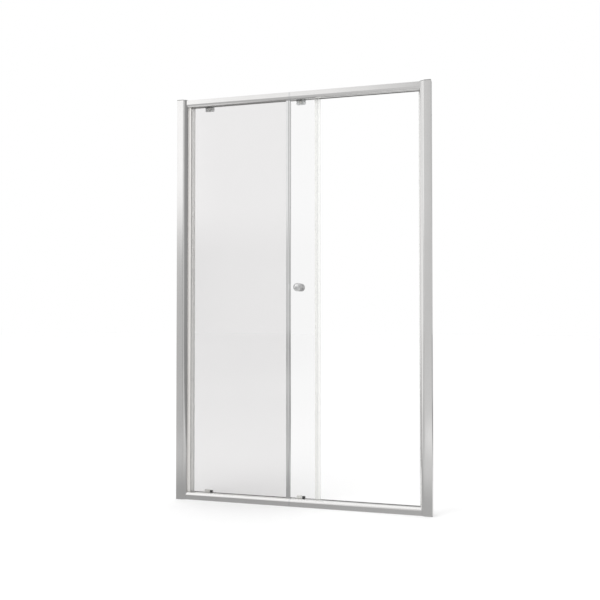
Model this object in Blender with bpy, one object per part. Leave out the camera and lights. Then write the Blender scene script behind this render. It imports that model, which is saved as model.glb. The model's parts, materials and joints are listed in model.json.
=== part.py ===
"""A framed shower door with one fixed pane and one sliding pane.

The sliding pane hangs on grooved wheels in the top rail. Sprung wheels at its foot hook under the
lip of the bottom rail, and a button on each of them lets the pane go for cleaning. The two jambs
telescope into profiles that are screwed to the walls. The pane stands open, as far left as it goes.

Metres, +Z up. +X runs to the right-hand wall and +Y into the shower. The origin is the middle of
the bottom rail's underside, halfway between the walls and halfway through the frame's depth.
"""

import math

import bmesh
import bpy

# Overall sizes, and the gaps that all pieces share
FRAME_WIDTH = 1.200
FRAME_HEIGHT = 1.900
SLIP = 0.0003
OVERRUN = 0.002

# Panes, with the depth of the fixed one's middle behind the frame's front
GLASS_THICKNESS = 0.006
FIXED_PANE_DEPTH = 0.025
SLIDING_PANE_GAP = 0.0016
FIXED_PANE_EDGE = 0.551
SLIDING_PANE_EDGE = 0.073
SLIDING_PANE_WIDTH = 0.609
SLIDING_PANE_ENTRY = 0.0095

# Wall profiles: plain U channels
WALL_PROFILE_WIDTH = 0.031
WALL_PROFILE_WALL = 0.0016
WALL_HOLE_RADIUS = 0.003
WALL_HOLE_HEIGHT_SHARES = (0.08, 0.46, 0.92)

# Jambs: a rounded nose, the glazing slot, the groove for the strike seal
JAMB_NOSE_WIDTH = 0.021
JAMB_WALL = 0.0016
JAMB_OVERLAP = 0.023
JAMB_SLOT_DEPTH = 0.012
JAMB_PANE_ENTRY = 0.009
STRIKE_GROOVE_WIDTH = 0.0052
STRIKE_GROOVE_DEPTH = 0.003

# Jamb screws and caps
JAMB_SCREW_INSET = 0.020
JAMB_SCREW_RADIUS = 0.0019
JAMB_SCREW_HEAD_RADIUS = 0.0036
JAMB_SCREW_HEAD_HEIGHT = 0.0022
JAMB_SCREW_LENGTH = 0.008
JAMB_SCREW_HEIGHT_SHARES = {"low": 0.12, "mid": 0.5, "high": 0.88}
CAP_THICKNESS = 0.0028
CAP_STEP = 0.001
CAP_PEG_WIDTH = 0.014
CAP_PEG_DEPTH = 0.010
CAP_PEG_LENGTH = 0.012

# Rails: one extrusion, its height measured from the outer side to the side that faces the panes
RAIL_DROP = 0.0035
RAIL_SETBACK = 0.007
RAIL_HEIGHT = 0.0335
RAIL_WALL = 0.0016
RAIL_NOSE_HEIGHT = 0.014
RAIL_PANE_ENTRY = 0.014
RIB_WIDTH = 0.0013
RIB_HEIGHT = 0.0022

# Rail screws and the port that they cut into
PORT_HEIGHT = 0.0072
PORT_WIDTH = 0.0066
RAIL_SCREW_RADIUS = 0.0019
RAIL_SCREW_HEAD_RADIUS = 0.0037
RAIL_SCREW_HEAD_HEIGHT = 0.0024
RAIL_SCREW_BITE = 0.020

# Glazing gaskets, infill strips and the strike seal
GASKET_LEG = 0.0009
GASKET_BASE = 0.0009
GASKET_SHOW = 0.011
GASKET_SINK = 0.0005
INFILL_THICKNESS = 0.0012
INFILL_STEM_WIDTH = 0.003
INFILL_STEM_LENGTH = 0.009
STRIKE_WIDTH = 0.0076
STRIKE_PROJECTION = 0.005

# End trim of the fixed pane, its wiper and its clips
TRIM_WIDTH = 0.0202
TRIM_WALL = 0.0012
TRIM_COVER = 0.014
TRIM_BEAD_WIDTH = 0.0053
TRIM_BEAD_HEIGHT = 0.0012
TRIM_BEAD_INSET = 0.0052
WIPER_BASE_WIDTH = 0.008
WIPER_BASE_THICKNESS = 0.0007
WIPER_LIP = 0.001
CLIP_WIDTH = 0.0072
CLIP_THICKNESS = 0.0006
CLIP_SETBACK = 0.0008

# Seals of the sliding pane
SEAL_LEG = 0.001
SEAL_BASE = 0.0012
LEADING_SEAL_COVER = 0.0125
LEADING_SEAL_PROJECTION = 0.0144
TRAILING_SEAL_COVER = 0.006
TRAILING_SEAL_PROJECTION = 0.014
SEAL_CLEARANCE = 0.0006

# Wheels
WHEEL_WIDTH = 0.004
WHEEL_GROOVE_DEPTH = 0.0019
WHEEL_GROOVE_PLAY = 0.0004
WHEEL_CHAMFER = 0.0003
ROLLER_WHEEL_RADIUS = 0.009
GUIDE_WHEEL_RADIUS = 0.0055

# Top roller carriers, their axles and bolts
ROLLER_INSET = 0.079
ROLLER_BODY_WIDTH = 0.043
ROLLER_PLATE = 0.0018
ROLLER_BLOCK_HEIGHT = 0.0193
ROLLER_BLOCK_DEPTH = 0.009
ROLLER_CORNER = 0.005
ROLLER_SPACING = 0.022
ROLLER_PIN_RADIUS = 0.002
ROLLER_PIN_HEAD_RADIUS = 0.0032
ROLLER_PIN_HEAD = 0.0007
BOLT_HEAD_RADIUS = 0.0065
BOLT_RADIUS = 0.003
BOLT_CONE = 0.0035
BOLT_SINK = 0.0002
BOLT_END_WALL = 0.0014
CARRIER_GAP = 0.0006

# Bottom guides
GUIDE_BODY_WIDTH = 0.0405
GUIDE_BODY_HEIGHT = 0.0114
GUIDE_SHOULDER = 0.0045
GUIDE_SLOPE = 0.0025
GUIDE_CORNER = 0.002
GUIDE_DEPTH = 0.009
GUIDE_WALL = 0.001
GUIDE_FLOOR = 0.001
GUIDE_FOOT = 0.0032
GUIDE_LIP = 0.0009
GUIDE_LIP_HEIGHT = 0.0073
GUIDE_CLIP_WIDTH = 0.022
BUTTON_WIDTH = 0.013
BUTTON_HEIGHT = 0.0044
BUTTON_STAND = 0.0002
BUTTON_CORNER = 0.001
BUTTON_END_WALL = 0.0012
STEM_THICKNESS = 0.0016
STEM_TAIL = 0.0088
GUIDE_PIN_RADIUS = 0.0015
GUIDE_PIN_HEAD_RADIUS = 0.0022
GUIDE_PIN_HEAD = 0.0006
SPRING_RADIUS = 0.0015
SPRING_WIRE = 0.0006
SPRING_TURNS = 4
SPRING_POINTS_PER_TURN = 10

# Knob on both sides of the sliding pane
KNOB_HEIGHT = 0.998
KNOB_INSET = 0.087
KNOB_RADIUS = 0.019
KNOB_LENGTH = 0.033
KNOB_EDGE = 0.0018
KNOB_DISH = 0.0008
KNOB_DISH_SHARE = 0.8
KNOB_STUD_RADIUS = 0.003
KNOB_STUD_BITE = 0.018
KNOB_HOLE_RADIUS = 0.0043
WASHER_RADIUS = 0.015
WASHER_THICKNESS = 0.0007

# Buffers inside the top rail
STOP_LENGTH = 0.018
STOP_NOSE = 0.0025
STOP_SLACK = 0.001

# Sides of turned pieces, steps of round stretches, and how they are shaded
FINE_SIDES = 40
WHEEL_SIDES = 24
SMALL_SIDES = 14
NOSE_STEPS = 8
EDGE_STEPS = 3
ROUND_PROFILE_SHARE = 0.5
SHARP_ANGLE = math.radians(32)
AXIS_TURNS = {
    "X": (0, math.pi / 2, 0),
    "-X": (0, -math.pi / 2, 0),
    "Y": (-math.pi / 2, 0, 0),
    "-Y": (math.pi / 2, 0, 0),
    "Z": (0, 0, 0),
}

# Places that follow from the sizes above, as distances from the left wall, the front and the base
JAMB_WIDTH = WALL_PROFILE_WIDTH + JAMB_NOSE_WIDTH
SLOT_WIDTH = GLASS_THICKNESS + 2 * (SLIP + GASKET_LEG + SLIP)
SLOT_FRONT = FIXED_PANE_DEPTH - SLOT_WIDTH / 2
SLOT_BACK = SLOT_FRONT + SLOT_WIDTH
JAMB_FRONT = WALL_PROFILE_WALL + SLIP
PROFILE_TOP = FRAME_HEIGHT - CAP_THICKNESS - SLIP
TOP_RAIL_LEVEL = FRAME_HEIGHT - RAIL_DROP
RAIL_SLOT_FLOOR = RAIL_HEIGHT - RAIL_PANE_ENTRY - SLIP - GASKET_BASE - SLIP
MIDDLE_WALL_BACK = SLOT_BACK + RAIL_WALL
SLIDING_FRONT = MIDDLE_WALL_BACK + SLIDING_PANE_GAP
SLIDING_BACK = SLIDING_FRONT + GLASS_THICKNESS
SLIDING_PANE_DEPTH = (SLIDING_FRONT + SLIDING_BACK) / 2
PLATE_FRONT = SLIDING_BACK + SLIP
PLATE_BACK = PLATE_FRONT + ROLLER_PLATE
WHEEL_DEPTH = PLATE_BACK + SLIP + WHEEL_WIDTH / 2
WHEEL_BACK = WHEEL_DEPTH + WHEEL_WIDTH / 2
REAR_WALL_FRONT = WHEEL_BACK + SLIP + ROLLER_PIN_HEAD + SLIP
FRAME_DEPTH = REAR_WALL_FRONT + RAIL_WALL
JAMB_BACK = FRAME_DEPTH - JAMB_FRONT
LEDGE_FRONT = PLATE_BACK + 2 * SLIP
LEDGE_INNER = RAIL_HEIGHT - RAIL_WALL
RIB_TIP = LEDGE_INNER - RIB_HEIGHT
PORT_LEVEL = RAIL_WALL + PORT_HEIGHT / 2
PLATE_LEVEL = RAIL_WALL + PORT_HEIGHT + SLIP
ROLLER_AXLE_LEVEL = RIB_TIP - SLIP - (ROLLER_WHEEL_RADIUS - WHEEL_GROOVE_DEPTH)
GUIDE_AXLE_LEVEL = RIB_TIP - SLIP - (GUIDE_WHEEL_RADIUS - WHEEL_GROOVE_DEPTH)
BLOCK_LEVEL = RAIL_HEIGHT + CARRIER_GAP
BOLT_LEVEL = BLOCK_LEVEL + ROLLER_BLOCK_HEIGHT / 2
LEADING_EDGE = SLIDING_PANE_EDGE + SLIDING_PANE_WIDTH
ROLLER_CENTRES = {
    "rear": SLIDING_PANE_EDGE + ROLLER_INSET,
    "front": LEADING_EDGE - ROLLER_INSET,
}
KNOB_PLACE = LEADING_EDGE - KNOB_INSET
STRIKE_FACE = FRAME_WIDTH - JAMB_WIDTH - STRIKE_PROJECTION
LEADING_SEAL_END = LEADING_EDGE + LEADING_SEAL_PROJECTION
TRAVEL = STRIKE_FACE - SLIP - LEADING_SEAL_END
TRIM_END = FIXED_PANE_EDGE - TRIM_COVER + TRIM_WIDTH
TRIM_FOOT = RAIL_HEIGHT + SLIP + CLIP_THICKNESS + SLIP
TRIM_HEAD = TOP_RAIL_LEVEL - TRIM_FOOT
SEAL_FOOT = RAIL_HEIGHT + SEAL_CLEARANCE
SEAL_HEAD = TOP_RAIL_LEVEL - SEAL_FOOT
GUIDE_WELL = BUTTON_WIDTH + 2 * SLIP
GUIDE_WELL_END = GUIDE_BODY_WIDTH / 2 - GUIDE_WALL
BUTTON_CENTRE = GUIDE_WELL_END - GUIDE_WELL / 2
BUTTON_LEVEL = BLOCK_LEVEL + GUIDE_SHOULDER + BUTTON_STAND
BUTTON_BACK = PLATE_FRONT + GUIDE_DEPTH - GUIDE_WALL - SLIP
STEM_FRONT = PLATE_BACK - STEM_THICKNESS
SPRING_DEPTH = (LEDGE_FRONT + BUTTON_BACK) / 2


def x_at(from_left):
    """World X of a place that is given as its distance from the left-hand wall."""
    return from_left - FRAME_WIDTH / 2


def y_at(from_front):
    """World Y of a place that is given as its distance behind the front of the wall profiles."""
    return from_front - FRAME_DEPTH / 2


def level(rail, height):
    """World Z of a height in a rail's section, which counts from the rail's outer side."""
    return height if rail == "bottom" else TOP_RAIL_LEVEL - height


def make_material(name, colour, roughness, metallic, alpha=1.0):
    """A Principled material with one colour."""
    material = bpy.data.materials.new(name)
    material.use_nodes = True
    shader = material.node_tree.nodes["Principled BSDF"]
    shader.inputs["Base Color"].default_value = (*colour, 1.0)
    shader.inputs["Roughness"].default_value = roughness
    shader.inputs["Metallic"].default_value = metallic
    shader.inputs["Alpha"].default_value = alpha
    return material


for old in list(bpy.data.objects):
    bpy.data.objects.remove(old, do_unlink=True)

ALUMINIUM = make_material("polished_aluminium", (0.78, 0.78, 0.79), 0.18, 1.0)
CHROME = make_material("chrome", (0.80, 0.80, 0.81), 0.08, 1.0)
STEEL = make_material("stainless_steel", (0.60, 0.60, 0.60), 0.30, 1.0)
GLASS = make_material("clear_glass", (0.93, 0.95, 0.95), 0.02, 0.0, 0.25)
VINYL = make_material("clear_vinyl", (0.88, 0.88, 0.86), 0.40, 0.0, 0.7)
CLEAR_PLASTIC = make_material("white_nylon", (0.85, 0.86, 0.85), 0.40, 0.0)
GREY_PLASTIC = make_material("grey_plastic", (0.48, 0.50, 0.50), 0.35, 0.0)
BLACK_PLASTIC = make_material("black_plastic", (0.03, 0.03, 0.03), 0.40, 0.0)
NYLON = make_material("wheel_nylon", (0.80, 0.80, 0.78), 0.45, 0.0)
RUBBER = make_material("grey_rubber", (0.20, 0.20, 0.20), 0.80, 0.0)


def add_object(name, mesh, material, location=(0, 0, 0), rotation=(0, 0, 0)):
    """An object in the scene with one material, round faces smooth and corners sharp."""
    mesh.materials.append(material)
    mesh.shade_smooth()
    mesh.set_sharp_from_angle(angle=SHARP_ANGLE)
    thing = bpy.data.objects.new(name, mesh)
    bpy.context.scene.collection.objects.link(thing)
    thing.location = location
    thing.rotation_euler = rotation
    return thing


def mesh_from(shape, name):
    """A mesh from a bmesh, with its faces turned outwards."""
    bmesh.ops.recalc_face_normals(shape, faces=shape.faces)
    mesh = bpy.data.meshes.new(name)
    shape.to_mesh(mesh)
    shape.free()
    return mesh


def prism(name, axis, section, start, end, material, hollow=()):
    """A section drawn square to an axis and extruded along it, with an optional hollow right through.

    A section point holds the two coordinates that are left when the axis is taken out of X, Y, Z.
    """
    slot = "XYZ".index(axis)
    shape = bmesh.new()
    edges = []
    for loop in filter(None, (section, hollow)):
        corners = []
        for pair in loop:
            place = list(pair)
            place.insert(slot, 0)
            corners.append(shape.verts.new(place))
        for one, other in zip(corners, corners[1:] + corners[:1]):
            edges.append(shape.edges.new((one, other)))
    bmesh.ops.triangle_fill(shape, use_beauty=True, edges=edges)
    path = [0, 0, 0]
    path[slot] = end - start
    grown = bmesh.ops.extrude_face_region(shape, geom=shape.faces[:])
    moved = [item for item in grown["geom"] if isinstance(item, bmesh.types.BMVert)]
    bmesh.ops.translate(shape, verts=moved, vec=path)
    location = [0, 0, 0]
    location[slot] = start
    return add_object(name, mesh_from(shape, name), material, location)


def turned(name, profile, location, direction, sides, material, ring=False):
    """A profile of (radius, distance along the axis) points spun round an axis.

    An open profile starts and ends on the axis. A ring's profile is closed and stays clear of it.
    """
    shape = bmesh.new()
    points = [shape.verts.new((radius, 0, along)) for radius, along in profile]
    pairs = list(zip(points, points[1:]))
    if ring:
        pairs.append((points[-1], points[0]))
    lines = [shape.edges.new(pair) for pair in pairs]
    bmesh.ops.spin(
        shape,
        geom=points + lines,
        cent=(0, 0, 0),
        axis=(0, 0, 1),
        angle=2 * math.pi,
        steps=sides,
        use_merge=True,
    )
    bmesh.ops.remove_doubles(shape, verts=shape.verts, dist=SLIP / 100)
    return add_object(name, mesh_from(shape, name), material, location, AXIS_TURNS[direction])


def boolean(target, helper, operation):
    """Cut a helper from a piece, or join it on, and leave the helper out of the render."""
    modifier = target.modifiers.new(helper.name, "BOOLEAN")
    modifier.operation = operation
    modifier.solver = "EXACT"
    modifier.object = helper
    helper.hide_render = True
    helper.display_type = "WIRE"


def drill(target, name, places, direction, radius, depth):
    """Round holes of one size, from each place along a direction."""
    for number, place in enumerate(places):
        profile = [(0, 0), (radius, 0), (radius, depth), (0, depth)]
        bit = turned(f"{name}_{number}", profile, place, direction, SMALL_SIDES, STEEL)
        boolean(target, bit, "DIFFERENCE")


def arc(centre, radii, first, last, steps):
    """Points on an ellipse's arc between two angles, both ends included."""
    points = []
    for step in range(steps + 1):
        angle = math.radians(first + (last - first) * step / steps)
        across = centre[0] + radii[0] * math.cos(angle)
        points.append((across, centre[1] + radii[1] * math.sin(angle)))
    return points


def walled(path, wall):
    """The closed outline of a wall that follows an open path and lies on its left-hand side."""
    normals = []
    for one, other in zip(path, path[1:]):
        run, rise = other[0] - one[0], other[1] - one[1]
        size = math.hypot(run, rise)
        normals.append((-rise / size, run / size))
    inner = []
    for here, first, last in zip(path, normals[:1] + normals, normals + normals[-1:]):
        stretch = wall / (1 + first[0] * last[0] + first[1] * last[1])
        inner.append((here[0] + (first[0] + last[0]) * stretch, here[1] + (first[1] + last[1]) * stretch))
    return list(path) + inner[::-1]


def round_edges(thing, radius, chosen):
    """Round the edges of a piece that pass a test of their middle and themselves."""
    shape = bmesh.new()
    shape.from_mesh(thing.data)
    found = [edge for edge in shape.edges if chosen((edge.verts[0].co + edge.verts[1].co) / 2, edge)]
    bmesh.ops.bevel(
        shape,
        geom=found,
        offset=radius,
        offset_type="OFFSET",
        segments=EDGE_STEPS,
        profile=ROUND_PROFILE_SHARE,
        affect="EDGES",
        clamp_overlap=True,
    )
    shape.to_mesh(thing.data)
    shape.free()
    thing.data.shade_smooth()
    thing.data.set_sharp_from_angle(angle=SHARP_ANGLE)


def runs_along_depth(edge):
    """Whether an edge lies along Y."""
    run = edge.verts[1].co - edge.verts[0].co
    return max(abs(run.x), abs(run.z)) < abs(run.y)


def attach(children, parent):
    """Make pieces follow a parent and stay where they are."""
    bpy.context.view_layer.update()
    for child in children:
        child.parent = parent
        child.matrix_parent_inverse = parent.matrix_world.inverted()


def side_points(side, points):
    """A section that is drawn for the left side of the frame, put in place for either side."""
    sign = 1 if side == "left" else -1
    return [(sign * x_at(across), y_at(depth)) for across, depth in points]


def nose_outline(grown):
    """The jamb's rounded front, from its flat part to the glazing slot, made larger all round."""
    centre = (WALL_PROFILE_WIDTH, SLOT_FRONT)
    radii = (JAMB_NOSE_WIDTH + grown, SLOT_FRONT - JAMB_FRONT + grown)
    return arc(centre, radii, -90, 0, NOSE_STEPS)


def build_wall_profile(side):
    """The U channel that is screwed to one wall."""
    path = [
        (WALL_PROFILE_WIDTH, FRAME_DEPTH),
        (0, FRAME_DEPTH),
        (0, 0),
        (WALL_PROFILE_WIDTH, 0),
    ]
    section = side_points(side, walled(path, WALL_PROFILE_WALL))
    profile = prism(f"wall_profile_{side}", "Z", section, 0, PROFILE_TOP, ALUMINIUM)
    sign = 1 if side == "left" else -1
    start = sign * x_at(-OVERRUN)
    places = [(start, 0, share * FRAME_HEIGHT) for share in WALL_HOLE_HEIGHT_SHARES]
    inwards = "X" if side == "left" else "-X"
    reach = WALL_PROFILE_WALL + 2 * OVERRUN
    drill(profile, f"wall_hole_{side}", places, inwards, WALL_HOLE_RADIUS, reach)
    return profile


def build_jamb(side):
    """The post that slides into a wall profile and carries the ends of the rails."""
    strike_front = SLIDING_PANE_DEPTH - STRIKE_GROOVE_WIDTH / 2
    strike_back = SLIDING_PANE_DEPTH + STRIKE_GROOVE_WIDTH / 2
    slot_floor = JAMB_WIDTH - JAMB_SLOT_DEPTH
    groove_floor = JAMB_WIDTH - STRIKE_GROOVE_DEPTH
    hidden_edge = WALL_PROFILE_WIDTH - JAMB_OVERLAP
    path = [(hidden_edge, JAMB_FRONT)] + nose_outline(0)
    path += [
        (slot_floor, SLOT_FRONT),
        (slot_floor, SLOT_BACK),
        (JAMB_WIDTH, SLOT_BACK),
        (JAMB_WIDTH, strike_front),
        (groove_floor, strike_front),
        (groove_floor, strike_back),
        (JAMB_WIDTH, strike_back),
        (JAMB_WIDTH, JAMB_BACK),
        (hidden_edge, JAMB_BACK),
    ]
    section = side_points(side, walled(path, JAMB_WALL))
    jamb = prism(f"jamb_{side}", "Z", section, 0, PROFILE_TOP, ALUMINIUM)
    sign = 1 if side == "left" else -1
    start = sign * x_at(groove_floor - JAMB_WALL - OVERRUN)
    places = [(start, y_at(SLIDING_PANE_DEPTH), level(rail, PORT_LEVEL)) for rail in ("bottom", "top")]
    inwards = "X" if side == "left" else "-X"
    reach = JAMB_WALL + 2 * OVERRUN
    drill(jamb, f"rail_screw_hole_{side}", places, inwards, RAIL_SCREW_RADIUS + SLIP, reach)
    return jamb


def build_jamb_screw(side, place, share, profile, jamb):
    """A pan-head screw from the shower side through wall profile and jamb."""
    sign = 1 if side == "left" else -1
    head = (sign * x_at(JAMB_SCREW_INSET), y_at(FRAME_DEPTH + SLIP), share * FRAME_HEIGHT)
    tip = (head[0], y_at(FRAME_DEPTH + SLIP - JAMB_SCREW_LENGTH), head[2])
    shoulder = JAMB_SCREW_LENGTH
    top = shoulder + JAMB_SCREW_HEAD_HEIGHT
    outline = [(0, 0), (JAMB_SCREW_RADIUS, 0), (JAMB_SCREW_RADIUS, shoulder)]
    outline += [(JAMB_SCREW_HEAD_RADIUS, shoulder), (JAMB_SCREW_HEAD_RADIUS, (shoulder + top) / 2)]
    outline += [(JAMB_SCREW_HEAD_RADIUS - (top - shoulder) / 2, top), (0, top)]
    screw = turned(f"jamb_screw_{side}_{place}", outline, tip, "Y", SMALL_SIDES, STEEL)
    start = [(head[0], y_at(FRAME_DEPTH + OVERRUN), head[2])]
    reach = JAMB_SCREW_LENGTH + 2 * OVERRUN
    for piece in (profile, jamb):
        drill(piece, f"{screw.name}_in_{piece.name}", start, "-Y", JAMB_SCREW_RADIUS + SLIP, reach)
    return screw


def build_jamb_cap(side):
    """The cover on top of a wall profile and its jamb, a step lower on the jamb, with a peg into it."""
    bottom = FRAME_HEIGHT - CAP_THICKNESS
    outline = [(0, 0), (WALL_PROFILE_WIDTH, 0), (WALL_PROFILE_WIDTH, FRAME_DEPTH), (0, FRAME_DEPTH)]
    name = f"jamb_cap_{side}"
    cap = prism(name, "Z", side_points(side, outline), bottom, FRAME_HEIGHT, GREY_PLASTIC)
    root = WALL_PROFILE_WIDTH - OVERRUN
    outline = [(root, JAMB_FRONT)] + nose_outline(0) + [(JAMB_WIDTH, JAMB_BACK), (root, JAMB_BACK)]
    step = FRAME_HEIGHT - CAP_STEP
    lower = prism(f"cap_nose_{side}", "Z", side_points(side, outline), bottom, step, GREY_PLASTIC)
    boolean(cap, lower, "UNION")
    middle = WALL_PROFILE_WIDTH - JAMB_OVERLAP + JAMB_WALL + CAP_PEG_WIDTH / 2
    near, far = FRAME_DEPTH / 2 - CAP_PEG_DEPTH / 2, FRAME_DEPTH / 2 + CAP_PEG_DEPTH / 2
    edge, tip = middle - CAP_PEG_WIDTH / 2, middle + CAP_PEG_WIDTH / 2
    square = side_points(side, [(edge, near), (tip, near), (tip, far), (edge, far)])
    top = bottom + CAP_THICKNESS / 2
    peg = prism(f"cap_peg_{side}", "Z", square, bottom - CAP_PEG_LENGTH, top, GREY_PLASTIC)
    boolean(cap, peg, "UNION")
    return cap


def rail_section():
    """Outline and hollow of a rail as (depth, height) points: glazing slot, door channel, ledge, rib."""
    nose_centre = (SLOT_FRONT, RAIL_HEIGHT - RAIL_NOSE_HEIGHT)
    nose_radii = (SLOT_FRONT - RAIL_SETBACK, RAIL_NOSE_HEIGHT)
    port_back = SLIDING_PANE_DEPTH + PORT_WIDTH / 2
    outline = [(RAIL_SETBACK, 0)] + arc(nose_centre, nose_radii, 180, 90, NOSE_STEPS)
    outline += [
        (SLOT_FRONT, RAIL_SLOT_FLOOR),
        (SLOT_BACK, RAIL_SLOT_FLOOR),
        (SLOT_BACK, RAIL_HEIGHT),
        (MIDDLE_WALL_BACK, RAIL_HEIGHT),
        (MIDDLE_WALL_BACK, RAIL_WALL + PORT_HEIGHT),
        (port_back, RAIL_WALL + PORT_HEIGHT),
        (port_back, RAIL_WALL),
        (REAR_WALL_FRONT, RAIL_WALL),
        (REAR_WALL_FRONT, LEDGE_INNER),
        (WHEEL_DEPTH + RIB_WIDTH / 2, LEDGE_INNER),
        (WHEEL_DEPTH + RIB_WIDTH / 2, RIB_TIP),
        (WHEEL_DEPTH - RIB_WIDTH / 2, RIB_TIP),
        (WHEEL_DEPTH - RIB_WIDTH / 2, LEDGE_INNER),
        (LEDGE_FRONT, LEDGE_INNER),
        (LEDGE_FRONT, RAIL_HEIGHT),
        (FRAME_DEPTH, RAIL_HEIGHT),
        (FRAME_DEPTH, 0),
    ]
    inner_radii = (nose_radii[0] - RAIL_WALL, nose_radii[1] - RAIL_WALL)
    slot_wall_front = SLOT_FRONT - RAIL_WALL
    meeting = 180 - math.degrees(math.acos((SLOT_FRONT - slot_wall_front) / inner_radii[0]))
    hollow = arc(nose_centre, inner_radii, 180, meeting, NOSE_STEPS)
    hollow += [
        (slot_wall_front, RAIL_SLOT_FLOOR - RAIL_WALL),
        (SLOT_BACK, RAIL_SLOT_FLOOR - RAIL_WALL),
        (SLOT_BACK, RAIL_WALL),
        (RAIL_SETBACK + RAIL_WALL, RAIL_WALL),
    ]
    return outline, hollow


def in_rail(rail, points):
    """A section that is drawn as (depth, height) points, put in place in one rail."""
    return [(y_at(depth), level(rail, height)) for depth, height in points]


def build_rail(rail):
    """One rail between the jambs, its ends coped to their noses and bored for the corner screws."""
    outline, hollow = (in_rail(rail, loop) for loop in rail_section())
    start = x_at(WALL_PROFILE_WIDTH)
    thing = prism(f"{rail}_rail", "X", outline, start, -start, ALUMINIUM, hollow)
    low, high = sorted((level(rail, -OVERRUN), level(rail, RAIL_HEIGHT + OVERRUN)))
    past = FRAME_DEPTH + OVERRUN
    cope = [(WALL_PROFILE_WIDTH - OVERRUN, JAMB_FRONT - SLIP)] + nose_outline(SLIP)
    cope += [(JAMB_WIDTH + SLIP, past), (WALL_PROFILE_WIDTH - OVERRUN, past)]
    for side, inwards in (("left", "X"), ("right", "-X")):
        cutter = prism(f"{rail}_cope_{side}", "Z", side_points(side, cope), low, high, STEEL)
        boolean(thing, cutter, "DIFFERENCE")
        sign = 1 if side == "left" else -1
        mouth = (sign * x_at(JAMB_WIDTH - OVERRUN), y_at(SLIDING_PANE_DEPTH), level(rail, PORT_LEVEL))
        reach = RAIL_SCREW_BITE + SLIP + OVERRUN + SLIP
        drill(thing, f"{rail}_port_{side}", [mouth], inwards, RAIL_SCREW_RADIUS + SLIP, reach)
    return thing


def build_rail_screw(rail, side):
    """The screw in one corner: its head lies inside the jamb, its thread in the rail's port."""
    sign = 1 if side == "left" else -1
    seat = JAMB_WIDTH - STRIKE_GROOVE_DEPTH - JAMB_WALL - SLIP
    start = (
        sign * x_at(seat - RAIL_SCREW_HEAD_HEIGHT),
        y_at(SLIDING_PANE_DEPTH),
        level(rail, PORT_LEVEL),
    )
    length = JAMB_WIDTH + SLIP + RAIL_SCREW_BITE - seat
    end = RAIL_SCREW_HEAD_HEIGHT + length
    outline = [(0, 0), (RAIL_SCREW_HEAD_RADIUS - RAIL_SCREW_RADIUS / 2, 0)]
    outline += [(RAIL_SCREW_HEAD_RADIUS, RAIL_SCREW_HEAD_HEIGHT / 2)]
    outline += [(RAIL_SCREW_HEAD_RADIUS, RAIL_SCREW_HEAD_HEIGHT)]
    outline += [(RAIL_SCREW_RADIUS, RAIL_SCREW_HEAD_HEIGHT), (RAIL_SCREW_RADIUS, end), (0, end)]
    inwards = "X" if side == "left" else "-X"
    return turned(f"rail_screw_{rail}_{side}", outline, start, inwards, SMALL_SIDES, STEEL)


def build_pane(name, left, right, depth, entry):
    """A glass pane between two distances from the left wall, let into both rails."""
    front, back = y_at(depth - GLASS_THICKNESS / 2), y_at(depth + GLASS_THICKNESS / 2)
    section = [(x_at(left), front), (x_at(right), front), (x_at(right), back), (x_at(left), back)]
    bottom, top = level("bottom", RAIL_HEIGHT - entry), level("top", RAIL_HEIGHT - entry)
    return prism(name, "Z", section, bottom, top, GLASS)


def build_side_gasket():
    """The glazing channel on the fixed pane's left edge, whose legs show beyond the jamb."""
    front, back = SLOT_FRONT + SLIP, SLOT_BACK - SLIP
    base = JAMB_WIDTH - JAMB_SLOT_DEPTH + SLIP
    floor = JAMB_WIDTH - JAMB_PANE_ENTRY - SLIP
    tip = JAMB_WIDTH + GASKET_SHOW
    outline = [(base, front), (tip, front), (tip, front + GASKET_LEG), (floor, front + GASKET_LEG)]
    outline += [(floor, back - GASKET_LEG), (tip, back - GASKET_LEG), (tip, back), (base, back)]
    return prism("fixed_gasket_side", "Z", side_points("left", outline), SEAL_FOOT, SEAL_HEAD, VINYL)


def build_rail_gasket(rail):
    """The glazing channel between the fixed pane's edge and one rail."""
    front, back = SLOT_FRONT + SLIP, SLOT_BACK - SLIP
    base = RAIL_SLOT_FLOOR + SLIP
    floor = base + GASKET_BASE
    tip = RAIL_HEIGHT - GASKET_SINK
    outline = [(front, base), (front, tip), (front + GASKET_LEG, tip), (front + GASKET_LEG, floor)]
    outline += [(back - GASKET_LEG, floor), (back - GASKET_LEG, tip), (back, tip), (back, base)]
    start, end = x_at(JAMB_WIDTH + 2 * SLIP), x_at(FIXED_PANE_EDGE)
    return prism(f"fixed_gasket_{rail}", "X", in_rail(rail, outline), start, end, VINYL)


def infill_section(mouth):
    """A T strip that closes an unused glazing slot flush, as (depth, distance) points from its mouth."""
    front, back = SLOT_FRONT + SLIP, SLOT_BACK - SLIP
    stem_front = FIXED_PANE_DEPTH - INFILL_STEM_WIDTH / 2
    stem_back = FIXED_PANE_DEPTH + INFILL_STEM_WIDTH / 2
    under = mouth - INFILL_THICKNESS
    foot = under - INFILL_STEM_LENGTH
    outline = [(front, mouth), (back, mouth), (back, under), (stem_back, under)]
    return outline + [(stem_back, foot), (stem_front, foot), (stem_front, under), (front, under)]


def build_strike_seal():
    """The magnetic strip in the right jamb that the sliding pane closes on."""
    wide, narrow = STRIKE_WIDTH / 2, STRIKE_GROOVE_WIDTH / 2 - SLIP
    face, jamb_face = JAMB_WIDTH + STRIKE_PROJECTION, JAMB_WIDTH + SLIP
    root = JAMB_WIDTH - STRIKE_GROOVE_DEPTH + SLIP
    middle = SLIDING_PANE_DEPTH
    outline = [(root, middle - narrow), (jamb_face, middle - narrow), (jamb_face, middle - wide)]
    outline += [(face, middle - narrow), (face, middle + narrow), (jamb_face, middle + wide)]
    outline += [(jamb_face, middle + narrow), (root, middle + narrow)]
    return prism("strike_seal", "Z", side_points("right", outline), SEAL_FOOT, SEAL_HEAD, VINYL)


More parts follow.
